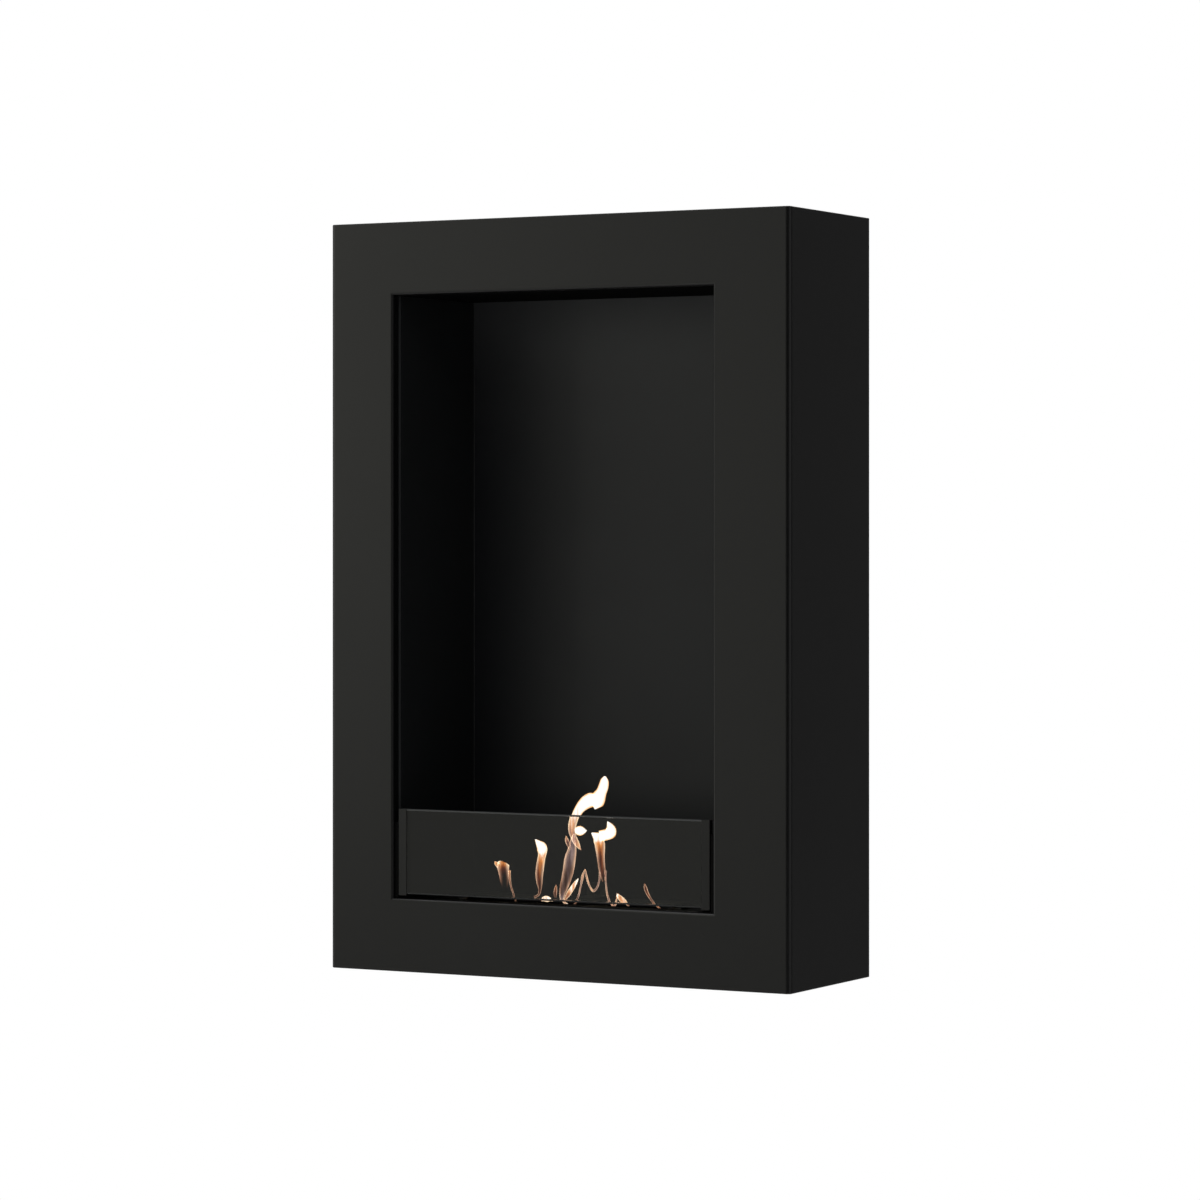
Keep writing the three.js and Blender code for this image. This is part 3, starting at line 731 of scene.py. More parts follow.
def panPatches():
    # the bent rim carried round a rectangle, and a flat web with the vents' cells left out
    flange, seam = pan["flange"], pan["seam"]
    corners = [(pan["flangeEdge"], flange), (0, flange), (0, pan["web"]), (-seam, pan["web"])]
    face, back = sheetLines(corners, pan["sheet"], -1, pan["fold"], steps=8)
    centres = (np.arange(pan["vents"]) - (pan["vents"] - 1) / 2) * pan["ventPitch"]
    ends = np.sort(np.concatenate([centres - pan["ventLength"] / 2, centres + pan["ventLength"] / 2]))
    path = rectanglePath(pan["half"], pan["low"], pan["high"], ends, pan["ventLevels"])
    patches = [(mitredRing(line, path), True) for line in (face, back)]
    patches.append((mitredRing(np.stack([face[0], back[0]]), path), True))
    half = pan["half"] - seam
    columns = np.concatenate([[-half], ends, [half]])
    rows = np.array([pan["low"] + seam, *pan["ventLevels"], pan["high"] - seam])
    points = np.stack(np.meshgrid(columns, rows), axis=-1)
    web = [onFace(points, pan["web"] + thick) for thick in (0, pan["sheet"])]
    for grid in web:
        patches += [(grid[:2], False), (grid[2:], False)]
        patches += [(grid[1:3, start : start + 2], False) for start in range(0, len(columns), 2)]
    # raw edges of each vent, which join the two faces of the sheet
    for start in range(1, len(columns) - 1, 2):
        loop = [grid[[1, 1, 2, 2], [start, start + 1, start + 1, start]] for grid in web]
        patches.append((np.stack(loop), True))
    return patches


toObject("backPanel", panPatches(), galvanised, "casing", "back_panel")

# hanger: screwed to the back panel, its lip hooks down behind the rail's
hanger = {
    "sheet": 2,
    "half": 180,
    "fold": 0.8,
    "line": [(174.8, 738.3), (174.8, 706.3), (181, 706.3), (181, 692)],
}
run = (-hanger["half"], hanger["half"])
patches = bentSheet(hanger["line"], hanger["sheet"], 1, run, alongX, hanger["fold"])
toObject("hangerBar", patches, zinc, "casing", "hanger_bar")
softened("wallRail", "wall_rail", zinc, "wall", width=0.4)
print("casing made")

screen = {"half": 185.7, "low": 82.5, "high": 173.5, "front": 4.3, "back": 9.7, "corner": 2.2, "edge": 1.9}
patches = standingPlate(screen, steps=6)
toObject("screenPane", patches, glass, "screen", "screen_glass", aside=middle)

endCap = {
    "inner": 177,
    "outer": 187,
    "front": 3.7,
    "back": 10.3,
    "sheet": 0.6,
    "fold": 0.3,
    "low": 81.2,
    "high": 173.5,
    "play": 0.2,  # between the floor and the sheet round it
    "raised": 0.02,  # the floor above the sheet's lower edge
}
# the floor that carries the glass
capFloor = {
    "half": (endCap["outer"] - endCap["inner"]) / 2 - endCap["play"],
    "front": endCap["front"] + endCap["play"],
    "back": endCap["back"] - endCap["play"],
    "low": endCap["low"] + endCap["raised"],
    "high": endCap["low"] + endCap["sheet"],
    "corner": 0.3,
    "edge": 0.1,
}
# the tongue that runs in the guide, and its middle from that of the screen
tongue = {"half": 1.75, "front": 6, "back": 8, "low": 83, "high": 153, "corner": 0.6, "edge": 0.4}
tongueMiddle = 188.25
for name, sign in sides:
    corners = channel(sign * endCap["inner"], sign * endCap["outer"], endCap["front"], endCap["back"])
    run = (endCap["low"], endCap["high"])
    patches = bentSheet(corners, endCap["sheet"], sign, run, onPlan, endCap["fold"])
    patches += lyingPlate(capFloor, 2, 2, sign * (endCap["inner"] + endCap["outer"]) / 2)
    patches += lyingPlate(tongue, 3, 4, sign * tongueMiddle)
    node = "screen_end_" + name.lower()
    toObject("screenEnd" + name, patches, powderCoat, "screen", node, aside=middle)
print("screen made")

tank = {"half": 150, "front": 40, "back": 126, "low": 14, "high": 74, "sheet": 1.5}
tank |= {"corner": 8, "bend": 3}


def vesselRows(row, bottom, top, sheet, bend):
    # an open box: outer bottom, bend, wall, rim, inner wall, bend, inner bottom
    outer = [inset(row, inside, bottom + past) for inside, past in quarter(bend, 5)]
    inner = [inset(row, sheet + past, bottom + sheet + inside) for inside, past in quarter(bend - sheet, 5)]
    start, end = inset(row, bend + wallMargin, bottom), inset(row, bend + wallMargin, bottom + sheet)
    above = bottom + bend + wallMargin
    walls = [inset(row, 0, above), inset(row, 0, top - wallMargin), inset(row, wallMargin, top)]
    walls += [inset(row, sheet - wallMargin, top)]
    walls += [inset(row, sheet, top - wallMargin), inset(row, sheet, above)]
    return [closing(start, bottom), start, *outer, *walls, *inner, end, closing(end, bottom + sheet)]


tankRow = rowOf(tank, "front", "back")
patches = loft(vesselRows(tankRow, tank["low"], tank["high"], tank["sheet"], tank["bend"]), onPlan)
toObject("burnerTank", patches, stainless, "burner", "burner_tank", aside=middle)

plate = {"half": 160, "front": 30, "back": 136, "low": 74.3, "high": 76.3, "corner": 5, "edge": 0.5}
slot = {
    "half": 110,
    "front": 49,
    "back": 75,
    "corner": 5,
    "sheet": 1.5,
    "roll": 2.2,  # radius of the plate's rolled edge
    "tight": 0.6,  # radius under the plate
    "collar": 68.3,  # level of the collar's foot
}


def burnerTopRows():
    # round the plate's section: top face inwards, rolled into the collar, and back under the plate
    row, hole = rowOf(plate, "front", "back"), rowOf(slot, "front", "back")
    edge, low, high = plate["edge"], plate["low"], plate["high"]
    sheet, roll, tight, foot = slot["sheet"], slot["roll"], slot["tight"], slot["collar"]
    rim = [inset(row, past, high - inside) for inside, past in quarter(edge, 3)]
    lead = [inset(row, edge + flatMargin, high), inset(hole, -roll - flatMargin, high)]
    rolled = [inset(hole, -inside, high - past) for inside, past in quarter(roll, 5)]
    collar = [inset(hole, 0, low), inset(hole, 0, foot + wallMargin), inset(hole, -wallMargin, foot)]
    collar += [inset(hole, wallMargin - sheet, foot), inset(hole, -sheet, foot + wallMargin)]
    turned = [inset(hole, -sheet - past, low - inside) for inside, past in quarter(tight, 4)]
    below = [inset(hole, -sheet - tight - flatMargin, low), inset(row, edge + flatMargin, low)]
    chin = [inset(row, inside, low + past) for inside, past in quarter(edge, 3)]
    return [*rim, *lead, *rolled, *collar, *turned, *below, *chin, rim[0]]


patches = loft(burnerTopRows(), onPlan)
toObject("burnerTop", patches, firedStainless, "burner", "burner_top", aside=middle)

wool = {"half": 147.5, "front": 42.5, "back": 123.5, "low": 15.8, "high": 63.8, "corner": 7, "edge": 4}
patches = lyingPlate(wool, steps=5)
toObject("burnerWool", patches, fibre, "burner", "burner_wool", aside=middle)

# angles that hold the lid down: their web stands beside it, and the rest comes from the CAD pieces
guide = {"web": 123.5, "sheet": 1.5, "fold": 0.3}
for name, sign in sides:
    node = "lid_guide_" + name.lower()
    low, high = boxOf(node)
    outer, inner = (high[0], low[0]) if sign > 0 else (low[0], high[0])
    web = middle + sign * (guide["web"] + guide["sheet"])
    foot = low[2] + guide["sheet"]
    corners = [(outer, foot), (web, foot), (web, high[2]), (inner, high[2])]
    patches = bentSheet(corners, guide["sheet"], sign, (low[1], high[1]), onFace, guide["fold"])
    toObject("lidGuide" + name, patches, firedStainless, "burner", node)

lid = {"half": 123, "front": 77, "back": 111, "low": 76.6, "high": 78.6, "corner": 2, "edge": 0.4}
patches = lyingPlate(lid, steps=3)
toObject("lidPlate", patches, strawStainless, "lid", "slide_lid", aside=middle)
softened("lidPull", "lid_pull", strawStainless, "lid", width=0.6, steps=3)
print("burner made")

smallHead = {"head": 7, "height": 1.8, "shank": 4, "socket": 2.5, "tip": 0.4}
wallHead = {"head": 12, "height": 3.4, "shank": 6, "socket": 5, "tip": 0.05}
# what the two heads share
headShape = {
    "deep": 1,  # depth of the socket
    "chamfer": 0.12,  # height of the chamfer at its mouth
    "flare": 0.14,  # how far the mouth opens
    "flareHex": 0.6,  # how much of a hexagon the mouth is
    "flat": 0.33,  # radius of the flat round the socket, as a share of the head's width
    "crown": 0.55,  # where the dome begins, as a share of the head's height
    "rim": 0.25,  # rounded edge under the head
}
roundSteps = 48  # points round each turned piece


def turnedPatches(profile, low, high, seat, sign):
    # profile (radius, height, share of a hexagon) spun round the middle axis of a box, along Y
    angles = np.linspace(0, 2 * math.pi, roundSteps, endpoint=False)
    flats = 1 / np.cos((angles + math.pi / 6) % (math.pi / 3) - math.pi / 6)
    radius, height, hexShare = (np.array(column)[:, None] for column in zip(*profile))
    reach = radius * (1 + hexShare * (flats - 1))
    x = (low[0] + high[0]) / 2 + reach * np.cos(angles)
    z = (low[2] + high[2]) / 2 + reach * np.sin(angles)
    y = behind(seat) + sign * height + 0 * angles
    return [(np.stack([x, y, z], axis=-1), True)]


def screwProfile(head, height, shank, socket, tip, length):
    # from the socket's floor out over the head and down the shank
    shape = headShape
    floor, chamfer = height - shape["deep"], height - shape["chamfer"]
    hexagon = [(socket / 2, floor, 1), (socket / 2, chamfer, 1)]
    hexagon.append((socket / 2 + shape["flare"], height, shape["flareHex"]))
    crown, inner = height * shape["crown"], head * shape["flat"]
    dome = [
        (inner + (head / 2 - inner) * math.sin(a), crown + (height - crown) * math.cos(a), 0)
        for a in arc(0, 90, 6)
    ]
    rim = [(head / 2, shape["rim"], 0), (head / 2 - shape["rim"], 0, 0), (shank / 2, 0, 0)]
    end = [(shank / 2, tip - length, 0), (shank / 2 - tip, -length, 0), (0, -length, 0)]
    return [(0, floor, 0), *hexagon, *dome, *rim, *end]


def addScrew(name, node, shape, sign, finish, body):
    # a screw in the place of its CAD piece, with its head to the rear, or to the front where the sign is -1
    low, high = boxOf(node)
    seat = high[1] - shape["height"] if sign > 0 else low[1] + shape["height"]
    profile = screwProfile(**shape, length=high[1] - low[1] - shape["height"])
    toObject(name, turnedPatches(profile, low, high, seat, sign), finish, body, node)


def bufferProfile(long):
    # radius and height of each ring: the flange on the casing and the waist, counted from the casing
    near = [(0, 0), (9.4, 0), (9.8, 0.15), (10, 0.6), (10, 3), (9.4, 3.6), (9.2, 4.5)]
    # the flange on the wall and the recess in it, counted from the wall
    far = [(9.2, 3.5), (9.4, 2.8), (10, 2.2), (10, 0.7), (9.8, 0.2), (9.3, 0)]
    far += [(4.2, 0), (4, 0.2), (3.9, 5), (0, 5)]
    rings = near + [(radius, long - height) for radius, height in far]
    return [(radius, height, 0) for radius, height in rings]


screwSets = [
    ("hangerScrew", "hanger_screw_", 4, zinc),
    ("panelScrew", "panel_screw_", 6, blackOxide),
    ("linerScrew", "liner_screw_", 6, blackOxide),
]
for label, node, count, finish in screwSets:
    for number in range(1, count + 1):
        addScrew(f"{label}{number}", f"{node}{number}", smallHead, 1, finish, "casing")
for name, _ in sides:
    addScrew("wallScrew" + name, "wall_screw_" + name.lower(), wallHead, -1, zinc, "wall")
    node = "wall_spacer_" + name.lower()
    low, high = boxOf(node)
    patches = turnedPatches(bufferProfile(high[1] - low[1]), low, high, low[1], 1)
    toObject("wallBuffer" + name, patches, rubber, "casing", node)
print("screws and buffers made")

flames = {
    "glassPasses": 0.115,  # share of the light that comes through the pane
    "brightness": 0.58,  # of each of the two skins of a tongue
    "aside": 1.6,  # how far right of their measured places they stand
    "thickness": 0.3,  # along Y, as a share of the width
    "thinnest": 0.1,  # least half width
    "steps": 40,  # points along a tongue
    "around": 16,  # points round it
    "streak": (4, 4, 25),  # size of the streaks along X, Y and Z
    "lean": 0.12,  # of the streaks, in radians
    "unevenness": 0.7,  # how far the streaks move the heat
    "rim": (0.2, 0.36, 0.47),  # where it begins on a body and on a head, and where it is full
}
# colours by heat: of warm and of pale cores, and of the rims round them
brownStops = [(0, "#000000"), (0.3, "#140602"), (0.5, "#4a1c09"), (0.62, "#8f4a1e"), (0.76, "#dc8c48")]
brownStops += [(0.9, "#fffaf0")]
lilacStops = [(0, "#0a0808"), (0.3, "#2a150c"), (0.43, "#4a3530"), (0.53, "#66585b"), (0.63, "#937f7a")]
lilacStops += [(0.75, "#c8a288"), (0.9, "#fffaf0")]
rimStops = [(0, "#1c0f08"), (0.3, "#8a5f48"), (0.5, "#c9a084"), (0.66, "#e6c3a0"), (0.85, "#ffe2ba")]
rimStops += [(1, "#f7b36a")]
# tongues of fire: place behind the face, share of warm brown in the core, and rows of
# (x, level, half width, heat) from the tip to the foot
tongues = [
    (61, 1, [
        (-95.6, 116.2, 4.6, 0.74), (-96, 114.8, 7, 0.72), (-96.4, 111.8, 7.5, 0.6),
        (-95.8, 107.2, 6.9, 0.42), (-95.2, 102.2, 6.2, 0.28), (-94.6, 95.8, 5.1, 0.15),
        (-94.3, 89.3, 3.3, 0.03),
    ]),
    (60, 1, [
        (-106.4, 116.6, 0.4, 0.68), (-104.4, 114.6, 2.2, 0.64), (-101.3, 112.4, 3, 0.55),
    ]),
    (62, 0.9, [
        (-88.9, 107.7, 1.5, 0.66), (-88.6, 98.6, 1.2, 0.6), (-86.9, 89.6, 1, 0.5),
        (-83.9, 82, 1, 0.5), (-82.7, 75.4, 0.7, 0.5), (-83.2, 72.4, 1, 0.36),
    ]),
    (61, 1, [
        (-56.8, 142, 0.4, 1), (-52.9, 137.8, 3.7, 1), (-49.1, 133.8, 6.4, 1),
        (-48.2, 129, 5.6, 0.93), (-48.8, 124.6, 4.7, 0.77), (-50, 119, 4.8, 0.66),
        (-51.2, 111.5, 4.9, 0.56), (-52, 103.9, 4.7, 0.47), (-51.6, 95.5, 3.5, 0.4),
        (-51.3, 88.2, 1.7, 0.42), (-53.4, 82.7, 1.2, 0.5), (-58.6, 80.4, 1, 0.34),
    ]),
    (60, 0.6, [
        (27, 211.4, 1.2, 1), (26.6, 207.4, 4.6, 1), (25.6, 201.6, 5.8, 1), (22.9, 194.8, 6.2, 1),
        (19.6, 188.6, 8.2, 1), (17, 182.4, 7.4, 1), (15, 176.4, 0.6, 1),
    ]),
    (61, 0.6, [
        (17.6, 188.3, 2.9, 1), (11.1, 186.5, 7.3, 1), (3.4, 183, 7.1, 1), (-3.4, 177, 5.7, 0.98),
        (-8.4, 168.8, 5, 0.86), (-11.4, 160.7, 4.9, 0.72), (-12.2, 153, 4.4, 0.6),
        (-9.9, 145.4, 3.5, 0.58), (-6.1, 139.1, 3.2, 0.7), (-1.2, 132.8, 0.4, 0.75),
    ]),
    (62, 0.15, [
        (-10.5, 149.2, 0.9, 0.6), (-11.7, 141.5, 3.3, 0.55), (-12.6, 132.5, 5.3, 0.55),
        (-15.2, 122.1, 6.8, 0.5), (-16.9, 111.7, 6.7, 0.42), (-19.6, 101.4, 6, 0.36),
        (-23.1, 90.9, 4.8, 0.4), (-24.9, 81.9, 2.9, 0.5), (-23.1, 76.5, 1.5, 0.7), (-18.4, 73.6, 1, 0.74),
        (-14.6, 73, 0.4, 0.5),
    ]),
    (60.5, 0.7, [
        (-18.9, 147, 0.4, 0.72), (-18.2, 142.5, 2.1, 0.62), (-15.8, 137.5, 2.3, 0.5),
        (-13.7, 132.4, 1.2, 0.4),
    ]),
    (60, 0.6, [
        (-8, 152.8, 0.9, 1), (-7.2, 152.9, 2.9, 1), (-5.4, 153, 4.4, 1), (-2.4, 153.1, 5.1, 1),
        (0.6, 153.2, 4.6, 1), (3.3, 153.3, 2.9, 1), (6.2, 153.5, 0.3, 1),
    ]),
    (61, 1, [
        (-31.2, 94.7, 0.3, 0.64), (-31.9, 90.6, 1.7, 0.58), (-32.5, 85.4, 2, 0.5),
        (-32.2, 80.9, 1, 0.4),
    ]),
    (60, 0.8, [
        (-50, 76.7, 0.4, 0.76), (-47, 78.6, 2.3, 0.8), (-43, 79.3, 3.3, 0.84),
        (-38.9, 79, 2.3, 0.8), (-35.8, 77, 0.4, 0.8),
    ]),
    (60, 0.8, [
        (-3.8, 102.6, 0.3, 0.8), (-7.6, 97.4, 2, 0.84), (-12, 91.2, 2.6, 0.82),
        (-16.5, 84.8, 2.4, 0.66), (-20.8, 78.9, 0.9, 0.55),
    ]),
    (62, 0.5, [
        (-14.4, 71.6, 0.6, 0.3), (-9.6, 76, 0.8, 0.4), (-5, 83.7, 1, 0.48), (-2, 95, 1, 0.6),
        (0.1, 104.7, 1.5, 0.72), (3, 112.3, 0.4, 0.85),
    ]),
    (63, 0.5, [
        (3, 112.3, 0.4, 0.85), (4.5, 104.2, 1.2, 0.65), (7.7, 95.4, 1, 0.6), (12.2, 89.8, 1.2, 0.6),
        (16.9, 93.5, 1, 0.58), (19.7, 101.6, 1, 0.5), (20.3, 110.6, 0.9, 0.5),
    ]),
    (60, 1, [
        (31.1, 164.1, 0.3, 1), (34.2, 158.4, 4.7, 1), (35.4, 153.2, 6.4, 1), (30.2, 150.2, 5.9, 1),
        (22.4, 148.4, 5.8, 1),
    ]),
    (61, 1, [
        (11.6, 151.2, 0.6, 1), (14.6, 149.2, 3, 1), (18.4, 146.4, 6, 0.96),
        (20.8, 142, 6.3, 0.78), (21.7, 136.4, 6, 0.66), (22.3, 129.4, 5.1, 0.56),
        (23, 121.6, 4.5, 0.48), (24.1, 113, 4.1, 0.44), (25.2, 106.2, 3.2, 0.34),
        (26.4, 100.6, 1.7, 0.25),
    ]),
    (62, 0.5, [
        (27.8, 112.2, 1.2, 0.5), (28.1, 100.7, 1, 0.5), (29.3, 89.2, 1, 0.55), (32.4, 79.6, 1.1, 0.6),
        (36, 74.8, 1, 0.66), (39.8, 78.4, 1, 0.65), (41.6, 84.7, 0.8, 0.75), (42.8, 88.4, 0.5, 0.8),
    ]),
    (61, 0.8, [
        (41.6, 88, 0.5, 0.8), (44.6, 85, 2.4, 0.84), (48.6, 81.6, 3, 0.78), (52.4, 78.8, 2.2, 0.7),
        (55.6, 75.6, 0.3, 0.5),
    ]),
    (61, 1, [
        (75, 100.3, 0.3, 0.62), (76.1, 95.4, 1.9, 0.52), (78.4, 90, 1.7, 0.46), (83.6, 82.6, 1.1, 0.5),
        (89.6, 76.6, 0.9, 0.5), (95, 73, 0.3, 0.34),
    ]),
]


def smoothPath(points, steps):
    # Catmull-Rom curve through the points, each place weighed from its four neighbours
    padded = np.concatenate([2 * points[:1] - points[1:2], points, 2 * points[-1:] - points[-2:-1]])
    share = np.linspace(0, len(points) - 1 - 1e-9, steps)
    start = share.astype(int)
    t = (share - start)[:, None]
    a, b, c, d = (padded[start + k] for k in range(4))
    return 0.5 * (2 * b + (c - a) * t + (2 * a - 5 * b + 4 * c - d) * t**2 + (3 * b - a - 3 * c + d) * t**3)


def fromMap(tree, mapName):
    # the two numbers that a UV map holds
    flat = addNode(tree, "UVMap", uv_map=mapName).outputs[0]
    return addNode(tree, "SeparateXYZ", {"Vector": flat}).outputs


def ethanolFlame():
    # burning ethanol: white-hot heads with a thin orange edge, and a brown body between cream rims
    material, tree, place = newMaterial("ethanolFlame")
    heat, across, _ = fromMap(tree, "heatAndReach")
    warmth = fromMap(tree, "warmth")[0]
    # streaks, as of gas that rises and cools unevenly
    streak = stretched(tree, place, flames["streak"], 2, (0, flames["lean"], 0))
    cooler = calculated(tree, "SUBTRACT", heat, flames["unevenness"] / 2)
    uneven = calculated(tree, "MULTIPLY_ADD", streak, flames["unevenness"], cooler)
    away = calculated(tree, "ABSOLUTE", calculated(tree, "SUBTRACT", across, 0.5))
    onBody, onHead, full = flames["rim"]
    rim = ranged(tree, away, ranged(tree, heat, 0.6, 0.95, onBody, onHead), full, smooth=True)
    brown, lilac, edge = (ramp(tree, uneven, stops) for stops in (brownStops, lilacStops, rimStops))
    colour = mixed(tree, mixed(tree, lilac, brown, warmth), edge, rim)
    # what the dark pane takes away is made up for, so that a flame is as bright behind it as above it
    through = addNode(tree, "LightPath").outputs["Is Transmission Ray"]
    bright = flames["brightness"]
    gain = ranged(tree, through, toLow=bright, toHigh=bright / flames["glassPasses"])
    strength = calculated(tree, "MULTIPLY", ranged(tree, heat, 0, 0.25), gain)
    glow = addNode(tree, "Emission", {"Color": colour, "Strength": strength})
    clear = addNode(tree, "BsdfTransparent")
    return finishedWith(material, {0: clear.outputs[0], 1: glow.outputs[0]}, "AddShader")


def flameMesh():
    # each tongue is a lens-shaped tube: half width along its own side, a share of it along Y
    points, faces, heats, warmths, first = [], [], [], [], 0
    steps, around = flames["steps"], flames["around"]
    turn = np.linspace(0, 2 * math.pi, around, endpoint=False)
    here = np.arange(around)
    ahead = (here + 1) % around
    for distance, warmth, rows in tongues:
        path = smoothPath(np.array(rows), steps)
        along = np.gradient(path[:, :2], axis=0)
        along /= np.linalg.norm(along, axis=1)[:, None]
        half = np.maximum(path[:, 2:3], flames["thinnest"])
        x = path[:, :1] + flames["aside"] - along[:, 1:] * half * np.cos(turn)
        z = path[:, 1:2] + along[:, :1] * half * np.cos(turn)
        y = behind(distance) + flames["thickness"] * half * np.sin(turn)
        skin = np.stack([x, y, z], axis=-1)
        points += [skin.reshape(-1, 3), skin[[0, -1]].mean(axis=1)]
        faces += gridFaces(steps, around, True, first)[:, ::-1].tolist()
        # a fan of triangles closes each end
        end, last = first + steps * around, first + (steps - 1) * around
        faces += np.stack([0 * here + end, first + here, first + ahead], axis=1).tolist()
        faces += np.stack([0 * here + end + 1, last + ahead, last + here], axis=1).tolist()
        heat = np.clip(path[:, 3:4], 0, 1) + 0 * turn
        across = 0.5 + 0.5 * np.cos(turn) + 0 * heat
        heats += [np.stack([heat, across], axis=-1).reshape(-1, 2), [(heat[0, 0], 0.5), (heat[-1, 0], 0.5)]]
        warmths.append(np.full((x.size + 2, 2), warmth))
        first += x.size + 2
    return np.concatenate(points), faces, np.concatenate(heats), np.concatenate(warmths)


points, faces, heats, warmths = flameMesh()
mesh = bpy.data.meshes.new("flameTongues")
mesh.from_pydata((points * mm).tolist(), [], faces)
corners = np.zeros(len(mesh.loops), np.int32)
mesh.loops.foreach_get("vertex_index", corners)
for mapName, values in (("heatAndReach", heats), ("warmth", warmths)):
    uvMap = mesh.uv_layers.new(name=mapName)
    uvMap.data.foreach_set("uv", values[corners].ravel().astype(np.float32))
mesh.shade_smooth()
mesh.materials.append(ethanolFlame())
fire = linked("flameTongues", mesh)
# the photograph was lit so strongly that the fire adds nothing to the sheets round it
fire.visible_shadow = False
fire.visible_diffuse = False
fire.visible_glossy = False
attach(fire, "burner")
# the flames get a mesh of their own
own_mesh(fire)
print("flames made")

studio = {
    "floorLevel": -0.9,
    "floorRadius": 3.2,
    "camera": (2.130, -3.892, 0.467),
    "turn": 28.65,
    "sensor": 36,
    "lens": 4164 / 1200 * 36,  # focal length over the width, both in pixels of the photograph
    "shiftY": (534 - 600) / 1200,  # its horizon from its middle, over its width
    "farthest": 60,
    "aim": (0, 0, 0.4),  # of all lamps
    "ambient": 0.25,  # tone of the room as matt surfaces see it
    # what metal and glass mirror: limits of the cosine between a ray and a way, and the tones at them
    "end": (0.72, 0.92, 0.055, 1),
    "shade": (0.7, 0.85, 1, 0),
    "wall": (0.94, 0.985, 0, 0.8),
    "shadeWay": 28,
    "wallWay": -80,
}
# the cloth of the two front lamps has yellowed a little, and gives the face its faint warm cast
whiteCloth = (1, 1, 1)
warmCloth = (1, 1, 0.91)
# lamps: name, place, width, height, radiance, colour
lamps = [
    ("frontLeftHigh", (-2.6, -1.95, 1.15), 1.8, 2.6, 1, warmCloth),
    ("frontLeftLow", (-1.2, -2.94, 0.64), 2.2, 2.2, 0.43, warmCloth),
    ("rightSoftbox", (2.9, -0.35, 0.6), 2.4, 2.4, 0.36, whiteCloth),
    ("overheadSoftbox", (-1.2, -0.4, 3.4), 3, 2.6, 1.9, whiteCloth),
    ("highFront", (0.3, -3.2, 3.6), 3, 1.8, 1.4, whiteCloth),
    ("highRear", (0.4, 3, 3.2), 3, 1.6, 2, whiteCloth),
]
for name, place, width, height, radiance, colour in lamps:
    # a flat lamp whose face shows this radiance gives pi times its area times the radiance
    data = bpy.data.lights.new(name, "AREA")
    data.shape = "RECTANGLE"
    data.size, data.size_y = width, height
    data.energy = math.pi * width * height * radiance
    data.color = colour
    lamp = linked(name, data)
    lamp.location = place
    away = np.array(studio["aim"]) - np.array(place)
    tilt = math.atan2(math.hypot(away[0], away[1]), -away[2])
    lamp.rotation_euler = (tilt, 0, math.atan2(-away[0], away[1]))
    lamp.visible_camera = False


def towards(azimuth):
    # level direction this many degrees to the right of straight out of the face
    return (math.sin(math.radians(azimuth)), -math.cos(math.radians(azimuth)), 0)


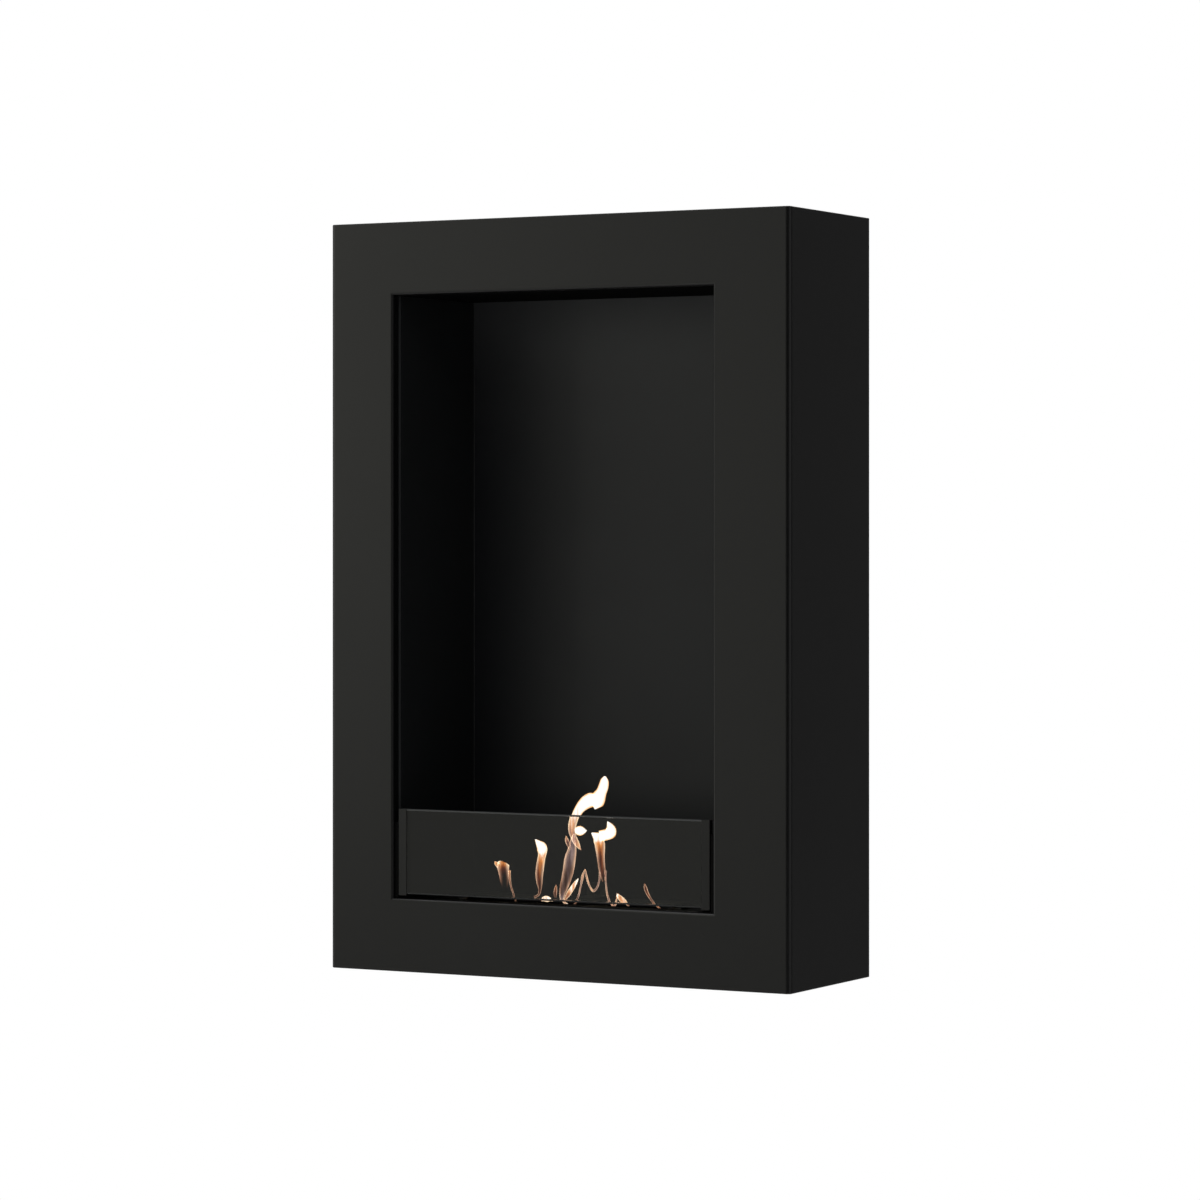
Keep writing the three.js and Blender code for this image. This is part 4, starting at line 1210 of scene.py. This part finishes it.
def whiteRoom():
    # world: white for the camera, white behind the object for metal and glass, dim elsewhere
    world = bpy.data.worlds.new("whiteRoom")
    bpy.context.scene.world = world
    world.use_nodes = True
    tree = world.node_tree
    tree.nodes.clear()
    rays = addNode(tree, "LightPath").outputs
    direction = addNode(tree, "TexCoord").outputs["Generated"]

    def toneTowards(azimuth, limits, smooth=False):
        # a tone by how nearly a ray runs this way
        return ranged(tree, vectorStep(tree, "DOT_PRODUCT", direction, towards(azimuth)), *limits, smooth)

    # the white end of the room lies the way the camera looks
    end = toneTowards(studio["turn"] + 180, studio["end"], True)
    # the room is dark to the right of the front, and the upright bend shows it as a thin dark line
    shade = toneTowards(studio["shadeWay"], studio["shade"])
    # a pale wall on the far left, which draws a thin light line down the opening's right bend
    wall = toneTowards(studio["wallWay"], studio["wall"])
    mirrored = calculated(tree, "MAXIMUM", calculated(tree, "MULTIPLY", end, shade), wall)
    sharp = calculated(tree, "MAXIMUM", rays["Is Glossy Ray"], rays["Is Transmission Ray"])
    tone = mixed(tree, studio["ambient"], mirrored, sharp, "FLOAT")
    strength = mixed(tree, tone, 1, rays["Is Camera Ray"], "FLOAT")
    sky = addNode(tree, "Background", {"Color": (1, 1, 1, 1), "Strength": strength})
    addNode(tree, "OutputWorld", {"Surface": sky.outputs[0]})


def paleFloor():
    # round pale floor that keeps a soft shadow within 1.2 m of the middle and fades to white outwards
    material, tree, place = newMaterial("paleStudioFloor")
    far = vectorStep(tree, "LENGTH", vectorStep(tree, "MULTIPLY", place, (1, 1, 0)))
    fade = ranged(tree, far, 1.2, studio["floorRadius"] - 0.1, smooth=True)
    rays = addNode(tree, "LightPath").outputs
    seen = calculated(tree, "MAXIMUM", rays["Is Camera Ray"], rays["Is Transmission Ray"])
    strength = calculated(tree, "MULTIPLY", ranged(tree, fade, toLow=0.4), seen)
    paper = addNode(tree, "BsdfDiffuse", {"Color": linear("#dedede")})
    white = addNode(tree, "Emission", {"Color": (1, 1, 1, 1), "Strength": strength})
    return finishedWith(material, {0: paper.outputs[0], 1: white.outputs[0]}, "AddShader")


whiteRoom()
turn = np.linspace(0, 2 * math.pi, 96, endpoint=False)
rings = np.array([0, 0.4, 0.7, 1])[:, None] * studio["floorRadius"]
level = studio["floorLevel"] + 0 * rings * turn
grid = np.stack([rings * np.cos(turn), rings * np.sin(turn), level], axis=-1)
floorMesh = bpy.data.meshes.new("studioFloor")
floorFaces = gridFaces(len(rings), len(turn), True, 0)
floorMesh.from_pydata(grid.reshape(-1, 3).tolist(), [], floorFaces.tolist())
floorMesh.materials.append(paleFloor())
floor = linked("studioFloor", floorMesh)

eye = bpy.data.cameras.new("photoCamera")
eye.lens = studio["lens"]
eye.sensor_width = studio["sensor"]
eye.shift_y = studio["shiftY"]
eye.clip_end = studio["farthest"]
camera = linked("photoCamera", eye)
camera.location = studio["camera"]
camera.rotation_euler = (math.radians(90), 0, math.radians(studio["turn"]))
bpy.context.scene.camera = camera
bpy.context.scene.view_settings.view_transform = "Standard"
print("studio ready")
